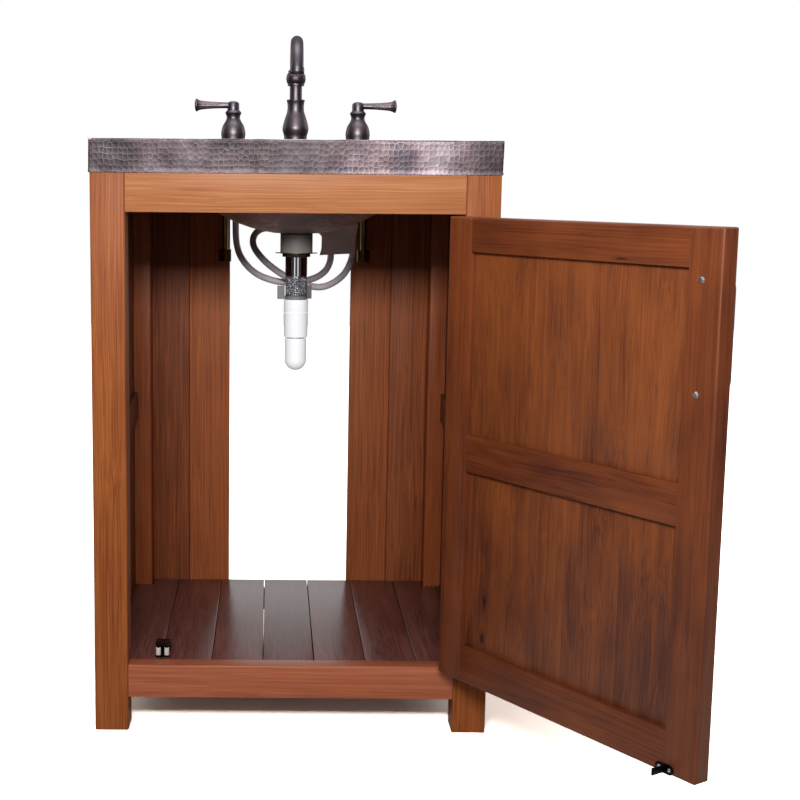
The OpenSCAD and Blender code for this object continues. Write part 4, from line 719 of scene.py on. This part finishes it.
bmesh.ops.scale(bm, verts=bm.verts, vec=(1, bowl_b / bowl_a, 1))
bmesh.ops.translate(bm, verts=bm.verts, vec=(bowl_mid.x, bowl_mid.y, bowl_high.z))
shade_by_angle(bm, 40)
bowl = stand_in("sink_bowl_finished", bm, "sink_bowl", copper)
bowl.data.materials.append(bowl_back)
press_dents(bowl)


# Metal and plastic pieces that keep the CAD shape

for node, material, bevel in (
        ("waste_body", chrome, 0.0), ("waste_stopper", chrome, 0.0), ("waste_gasket", rubber, 0.3 * mm),
        ("waste_spacer", spacer_plastic, 0.4 * mm), ("eared_washer", valve_brass, 0.2 * mm),
        ("waste_nut", black_plastic, 0.4 * mm), ("tailpiece", chrome, 0.0), ("tail_clip", grey_plastic, 0.4 * mm),
        ("slip_sleeve", sleeve_plastic, 0.3 * mm), ("tail_collar", white_plastic, 0.4 * mm),
        ("tail_cap", white_plastic, 0.0), ("spout_base", bronze, 0.0), ("spout", bronze, 0.0),
        ("handle_bases", bronze, 0.0), ("valve_bodies", valve_brass, 0.3 * mm), ("deck_nuts", valve_brass, 0.3 * mm),
        ("spout_tee", valve_brass, 0.3 * mm), ("hose_ferrules", zinc_steel, 0.4 * mm),
        ("pull_handle", bronze, 0.0), ("pull_screws", zinc_steel, 0.0),
        ("hinge_leaves_frame", hinge_brass, 0.1 * mm), ("hinge_leaves_door", hinge_brass, 0.1 * mm),
        ("hinge_pins", hinge_brass, 0.0), ("catch_housing", black_steel, 0.2 * mm),
        ("catch_arm_left", black_steel, 0.2 * mm), ("catch_arm_right", black_steel, 0.2 * mm),
        ("catch_roller_left", nylon, 0.2 * mm), ("catch_roller_right", nylon, 0.2 * mm),
        ("door_strike", black_steel, 0.2 * mm)):
    dress(node, material, bevel)

knurl_low, knurl_high = 659 * mm, 698 * mm
tail = bpy.data.objects["tailpiece_finished"].data
tail.materials.append(knurled)
for face in tail.polygons:
    face.material_index = int(knurl_low < face.center.z < knurl_high)


# Handles: a turned hub, and a lever whose trumpet is fluted between its hub and its lip

hub_r, hub_top, hub_dome = 10.5 * mm, 17 * mm, 3.5 * mm
lever_up = 9.7 * mm
# Radius and reach along the lever in millimetres
trumpet = [(5.0, 0), (5.5, 23), (6.5, 42), (7.6, 54), (8.9, 60), (11.1, 64.5)]
lip = [(11.1, 65.7), (10.5, 66.6), (8.5, 67.5), (5.0, 68.3), (0.0, 68.5)]
flutes, flute_depth = 12, 0.09
flute_start, flute_fade, flute_end, flute_run_out = 14, 14, 64.6, 1.5


def lever_handle(side, node, joint):
    """A hub on its joint's axis with a lever that points to one side, -1 for left and 1 for right."""
    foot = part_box(node)[0].z
    axis = Vector((*JOINTS[joint]["pos_m"][:2], foot))
    dome = [((hub_r - 1 * mm) * math.cos(math.radians(q)),
             hub_top - hub_dome + hub_dome * math.sin(math.radians(q))) for q in range(0, 91, 10)]
    bm = turned_shape([(0, 0), (hub_r - 0.4 * mm, 0), (hub_r, 0.4 * mm), (hub_r, hub_top - hub_dome - 0.7 * mm),
                       (hub_r - 0.3 * mm, hub_top - hub_dome - 0.1 * mm), *dome], 64, axis, close=False)
    route = smooth_route([Vector((r, s, 0)) for r, s in trumpet], 7)
    outline = [(0, 0)] + [(p.x * mm, p.y * mm) for p in route] + [(r * mm, s * mm) for r, s in lip]
    rod = turned_shape(outline, 96, close=False)
    for vert in rod.verts:
        along = vert.co.z / mm
        cut = min(1, max(0, (along - flute_start) / flute_fade)) * min(1, max(0, (flute_end - along) / flute_run_out))
        turn = math.atan2(vert.co.y, vert.co.x)
        if vert.co.xy.length > 1 * mm:
            vert.co.xy *= 1 - flute_depth * cut * (0.5 + 0.5 * math.cos(flutes * turn))
    bmesh.ops.transform(rod, matrix=Matrix.Translation(axis + Vector((0, 0, lever_up)))
                        @ Matrix.Rotation(side * math.pi / 2, 4, "Y"), verts=rod.verts)
    merge(bm, rod)
    bmesh.ops.recalc_face_normals(bm, faces=bm.faces)
    shade_by_angle(bm, 40)
    stand_in(node + "_finished", bm, node, bronze)


lever_handle(-1, "handle_left", "handle_left_turn")
lever_handle(1, "handle_right", "handle_right_turn")


# Spout outlet: the pale mesh disc of the aerator, a little up inside the mouth

bend_mid = Vector((311, -118, 1028)) * mm
bend_r, bend_turn = 60 * mm, math.radians(172)
mouth_way = Vector((0, -math.sin(bend_turn), math.cos(bend_turn)))
mouth = bend_mid + Vector((0, math.cos(bend_turn), math.sin(bend_turn))) * bend_r + mouth_way * 3.4 * mm
disc = turned_shape([(0, 0), (7.2 * mm, 0), (7.9 * mm, -0.5 * mm), (7.9 * mm, -4 * mm), (0, -4 * mm)], 48,
                    close=False)
bmesh.ops.transform(disc, matrix=Matrix.Translation(mouth) @ mouth_way.to_track_quat("Z", "X").to_matrix().to_4x4(),
                    verts=disc.verts)
shade_by_angle(disc)
new_piece("aerator", disc, "spout", zinc_steel)


# Screw heads: domed ones that hold the strike, and countersunk ones that hold the hinges' leaves

def screw_heads(name, body, material, outline, places):
    """Turned heads set at places by their matrices, as one piece on a body."""
    heads = bmesh.new()
    for at in places:
        head = turned_shape(outline, 20, close=False)
        bmesh.ops.transform(head, matrix=at, verts=head.verts)
        merge(heads, head)
    shade_by_angle(heads, 45)
    new_piece(name, heads, body, material)


head_r, head_h = 2.7 * mm, 1.1 * mm
strike_mid, strike_pitch = Vector((102.8, -479.4, 115)) * mm, 8.5 * mm
domed = [(0, 0), (head_r, 0), (head_r, 0.2 * head_h), (0.85 * head_r, 0.6 * head_h), (0.55 * head_r, 0.92 * head_h),
         (0.3 * head_r, head_h), (0.2 * head_r, 0.5 * head_h), (0, 0.4 * head_h)]
screw_heads("strike_screws", "door", zinc_steel, domed,
            [door_shut.inverted() @ Matrix.Translation(strike_mid + Vector((side * strike_pitch, 0, 0)))
             @ Matrix.Rotation(-math.pi / 2, 4, "X") for side in (-1, 1)])

flush = [(r * mm, h * mm) for r, h in ((0, -0.4), (3.2, -0.4), (3.2, 0.05), (3.0, 0.12), (1.1, 0.12), (0.9, 0.04),
                                       (0, 0.04))]
leaf_face = 0.2 * mm
hinge_mids = (230 * mm, 681 * mm)
hinge_rows = ((-22 * mm, 16.5 * mm), (0, 12.5 * mm), (22 * mm, 16.5 * mm))
for name, body, way, place in (("hinge_screws_frame", "cabinet", 1, Matrix()),
                               ("hinge_screws_door", "door", -1, door_shut.inverted())):
    screw_heads(name, body, hinge_brass, flush,
                [place @ Matrix.Translation((hinge.x + way * leaf_face, hinge.y + y, mid + z))
                 @ Matrix.Rotation(-way * math.pi / 2, 4, "Y") for mid in hinge_mids for z, y in hinge_rows])


# Hoses, each on its route in millimetres as the solids have it

left_route = [(287, -58, 768), (275, -58, 768), (262, -60, 768), (249, -67, 765), (240, -79, 757),
              (237, -93, 746), (240, -108, 735), (248, -123, 724), (259, -138, 713), (272, -153, 703),
              (288, -168, 693), (305, -179, 684), (321, -182, 677), (338, -178, 673), (355, -168, 671),
              (371, -152, 674), (386, -132, 681), (399, -111, 691), (408, -92, 704), (414, -76, 719),
              (416, -64.5, 735), (416.5, -58.6, 752), (416.5, -58, 772), (416.5, -58, 792)]
right_route = [(335, -58, 768), (347, -58, 768), (359, -58.5, 763), (368, -61, 752), (374, -67, 738),
               (376, -76, 723), (374, -87, 709.5), (368, -100, 698), (359, -113, 690), (347, -125, 684),
               (332, -134, 680), (315, -139, 678), (298, -140, 677), (281, -137, 678), (264, -131, 682),
               (248, -122, 688), (234, -110, 697), (222, -97, 709), (213, -84, 723), (208, -73, 739),
               (206, -64, 756), (205.5, -59, 773), (205.5, -58, 783), (205.5, -58, 792)]
hose_d = 12 * mm
braid_sides, braid_bands, braid_pitch, braid_depth = 32, 8, 26 * mm, 0.45 * mm


def braided_hose(name, node, route):
    """A round hose whose wall rises and falls with the crossing bands of its braid."""
    line = smooth_route([Vector(point) * mm for point in route], 12)
    bm = bmesh.new()
    weave = bm.verts.layers.float.new("weave")
    side = Vector((0, 0, 1))
    travelled = 0.0
    rings = []
    for i, point in enumerate(line):
        travelled += (point - line[i - 1]).length if i else 0
        way = (line[min(i + 1, len(line) - 1)] - line[max(i - 1, 0)]).normalized()
        side = (side - way * side.dot(way)).normalized()
        across = way.cross(side)
        ring = []
        for k in range(braid_sides):
            turn = 2 * math.pi * k / braid_sides
            climb = 2 * math.pi * travelled / braid_pitch
            height = 0.5 + 0.5 * math.cos(braid_bands * turn + climb * 4) * math.cos(braid_bands * turn - climb * 4)
            radius = hose_d / 2 - braid_depth * (1 - height)
            vert = bm.verts.new(point + radius * (math.cos(turn) * side + math.sin(turn) * across))
            vert[weave] = height
            ring.append(vert)
        rings.append([bm.edges.new((ring[k], ring[(k + 1) % braid_sides])) for k in range(braid_sides)])
    for a, b in zip(rings, rings[1:]):
        bmesh.ops.bridge_loops(bm, edges=a + b)
    bmesh.ops.holes_fill(bm, edges=rings[0] + rings[-1], sides=braid_sides)
    bmesh.ops.recalc_face_normals(bm, faces=bm.faces)
    shade_by_angle(bm, 60)
    piece = stand_in(name, bm, node, braid)


# Tag: a paper sleeve round the left hose's last rise, and a flag whose lower free corner curls back

tag_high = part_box("hose_tag")[1]
flag_from, flag_to = Vector((424, -77, 0)) * mm, Vector((358, -112, 0)) * mm
flag_h, paper_t = 55 * mm, 0.5 * mm
flag_curl, flag_lift = 9 * mm, 3 * mm
flag = bmesh.new()
bmesh.ops.create_grid(flag, x_segments=26, y_segments=22, size=0.5)
span = flag_to - flag_from
flag_out = Vector((span.y, -span.x, 0)).normalized()
for vert in flag.verts:
    u, v = vert.co.x + 0.5, 0.5 - vert.co.y
    curl = max(0.0, v * 1.3 - u * 0.9 - 0.1)
    bow = 2.5 * mm * math.sin(math.pi * u) + 1.2 * mm * math.sin(5 * v + 2 * u)
    vert.co = (flag_from + span * (u + 0.16 * curl) + flag_out * (bow * 0.6 - flag_curl * curl ** 2)
               + Vector((0, 0, tag_high.z - flag_h * v + flag_lift * curl * v)))
bmesh.ops.recalc_face_normals(flag, faces=flag.faces)
bmesh.ops.solidify(flag, geom=flag.faces[:], thickness=paper_t)
hose_axis = Vector((416.5, -58, 0)) * mm
wrap_r, wrap_h = 6.6 * mm, 17 * mm
wrap = turned_shape([(wrap_r, 0), (wrap_r + paper_t, 0), (wrap_r + paper_t, wrap_h), (wrap_r, wrap_h)], 40,
                    hose_axis + Vector((0, 0, tag_high.z - wrap_h)))
merge(wrap, flag)
shade_by_angle(wrap, 50)
stand_in("hose_tag_paper", wrap, "hose_tag", paper)
braided_hose("hose_left_braided", "hose_left", left_route)
braided_hose("hose_right_braided", "hose_right", right_route)


# Floor, light and background

floor_gain, floor_size = 3.2, 6


def stage_material():
    """A matt white floor with a warm tint, which paints the brown of light bounced off the wood into the shadow
    close to the cabinet. The camera sees it lifted past white where light falls, and glowing white away from the
    cabinet, so that only the shadow close to it shows."""
    material, tree, bsdf = new_material("white_sweep")
    seen = add(tree, "LightPath").outputs["Is Camera Ray"]
    mirrored = add(tree, "LightPath").outputs["Is Glossy Ray"]
    tone = add(tree, "Math", {0: mirrored, 1: 0.55, 2: 0.35}, operation="MULTIPLY_ADD")
    tone = add(tree, "Math", {0: seen, 1: floor_gain, 2: tone.outputs[0]}, operation="MULTIPLY_ADD")
    # The warm tint paints bounced light from the wood into the floor's shadow; where light falls it clips to white
    tone = add(tree, "Mix", {"Factor": 1.0, "A": tone.outputs[0], "B": (1, 0.91, 0.82, 1)}, data_type="RGBA",
               blend_type="MULTIPLY")
    away = add(tree, "VectorMath", {0: add(tree, "TexCoord").outputs["Object"]}, operation="LENGTH")
    away = add(tree, "MapRange", {"Value": away.outputs["Value"], "From Min": 0.42, "From Max": 0.9})
    glow = add(tree, "Math", {0: away.outputs[0], 1: seen}, operation="MULTIPLY")
    fill(tree, bsdf, {"Base Color": tone.outputs["Result"], "Roughness": 0.95, "Specular IOR Level": 0.0,
                      "Emission Color": (1, 1, 1, 1), "Emission Strength": glow.outputs[0]})
    return material


floor_bm = bmesh.new()
bmesh.ops.create_grid(floor_bm, x_segments=1, y_segments=1, size=floor_size)
floor = new_object("floor", floor_bm, stage_material())
floor.location = (0.3, -0.2, cad_low.z)

# The world lights the object evenly and low. The camera sees it white, and polished metal sees a white backdrop
# behind the object and a dim room in front of it with a softbox on either side of the camera.
ambient, softbox, backdrop, overhead = 0.18, 1.6, 1.0, 0.8
world = bpy.data.worlds.new("studio")
world.use_nodes = True
scene.world = world
sky = world.node_tree
rays = add(sky, "LightPath")
way = add(sky, "SeparateXYZ", {"Vector": add(sky, "TexCoord").outputs["Generated"]})
aside = add(sky, "Math", {0: way.outputs["X"]}, operation="ABSOLUTE").outputs[0]
front = add(sky, "ValToRGB", {"Fac": aside}, ((0.0, 0.06), (0.2, 0.06), (0.24, 1.0), (0.35, 1.0), (0.4, 0.03)))
front = add(sky, "Math", {0: front.outputs["Color"], 1: softbox}, operation="MULTIPLY").outputs[0]
behind = add(sky, "MapRange", {"Value": way.outputs["Y"], "From Min": 0.1, "From Max": 0.5}).outputs[0]
mirrored = add(sky, "Mix", {"Factor": behind, "A": front, "B": backdrop})
above = add(sky, "MapRange", {"Value": way.outputs["Z"], "From Min": 0.35, "From Max": 0.7}).outputs[0]
mirrored = add(sky, "Mix", {"Factor": above, "A": mirrored.outputs[0], "B": overhead})
level = add(sky, "Mix", {"Factor": rays.outputs["Is Glossy Ray"], "A": ambient, "B": mirrored.outputs[0]})
seen = add(sky, "Math", {0: rays.outputs["Is Camera Ray"], 1: rays.outputs["Is Transmission Ray"]},
           operation="MAXIMUM")
level = add(sky, "Mix", {"Factor": seen.outputs[0], "A": level.outputs[0], "B": 1.0})
fill(sky, sky.nodes["Background"], {"Color": (1, 1, 1, 1), "Strength": level.outputs[0]})


def lamp(name, at, towards, size, power):
    """A soft lamp that the camera doesn't see."""
    data = bpy.data.lights.new(name, "AREA")
    data.shape = "RECTANGLE"
    data.size, data.size_y = size
    data.energy = power
    made = bpy.data.objects.new(name, data)
    made.location = at
    made.rotation_mode = "QUATERNION"
    made.rotation_quaternion = (Vector(towards) - Vector(at)).to_track_quat("-Z", "Y")
    made.visible_camera = False
    scene.collection.objects.link(made)


lamp("key", (0.2, -2.5, 1.42), (0.3, -0.5, 1.95), (0.9, 0.4), 56)
lamp("top", (0.3, -0.5, 2.8), (0.3, -0.3, 0.6), (1.6, 1.2), 16)
lamp("back_left", (-1.9, 1.3, 1.5), (0.2, -0.2, 0.5), (1.2, 1.0), 6)
lamp("back_right", (2.6, 1.2, 1.5), (0.5, -0.3, 0.5), (1.2, 1.0), 6)

scene.view_settings.view_transform = "Standard"
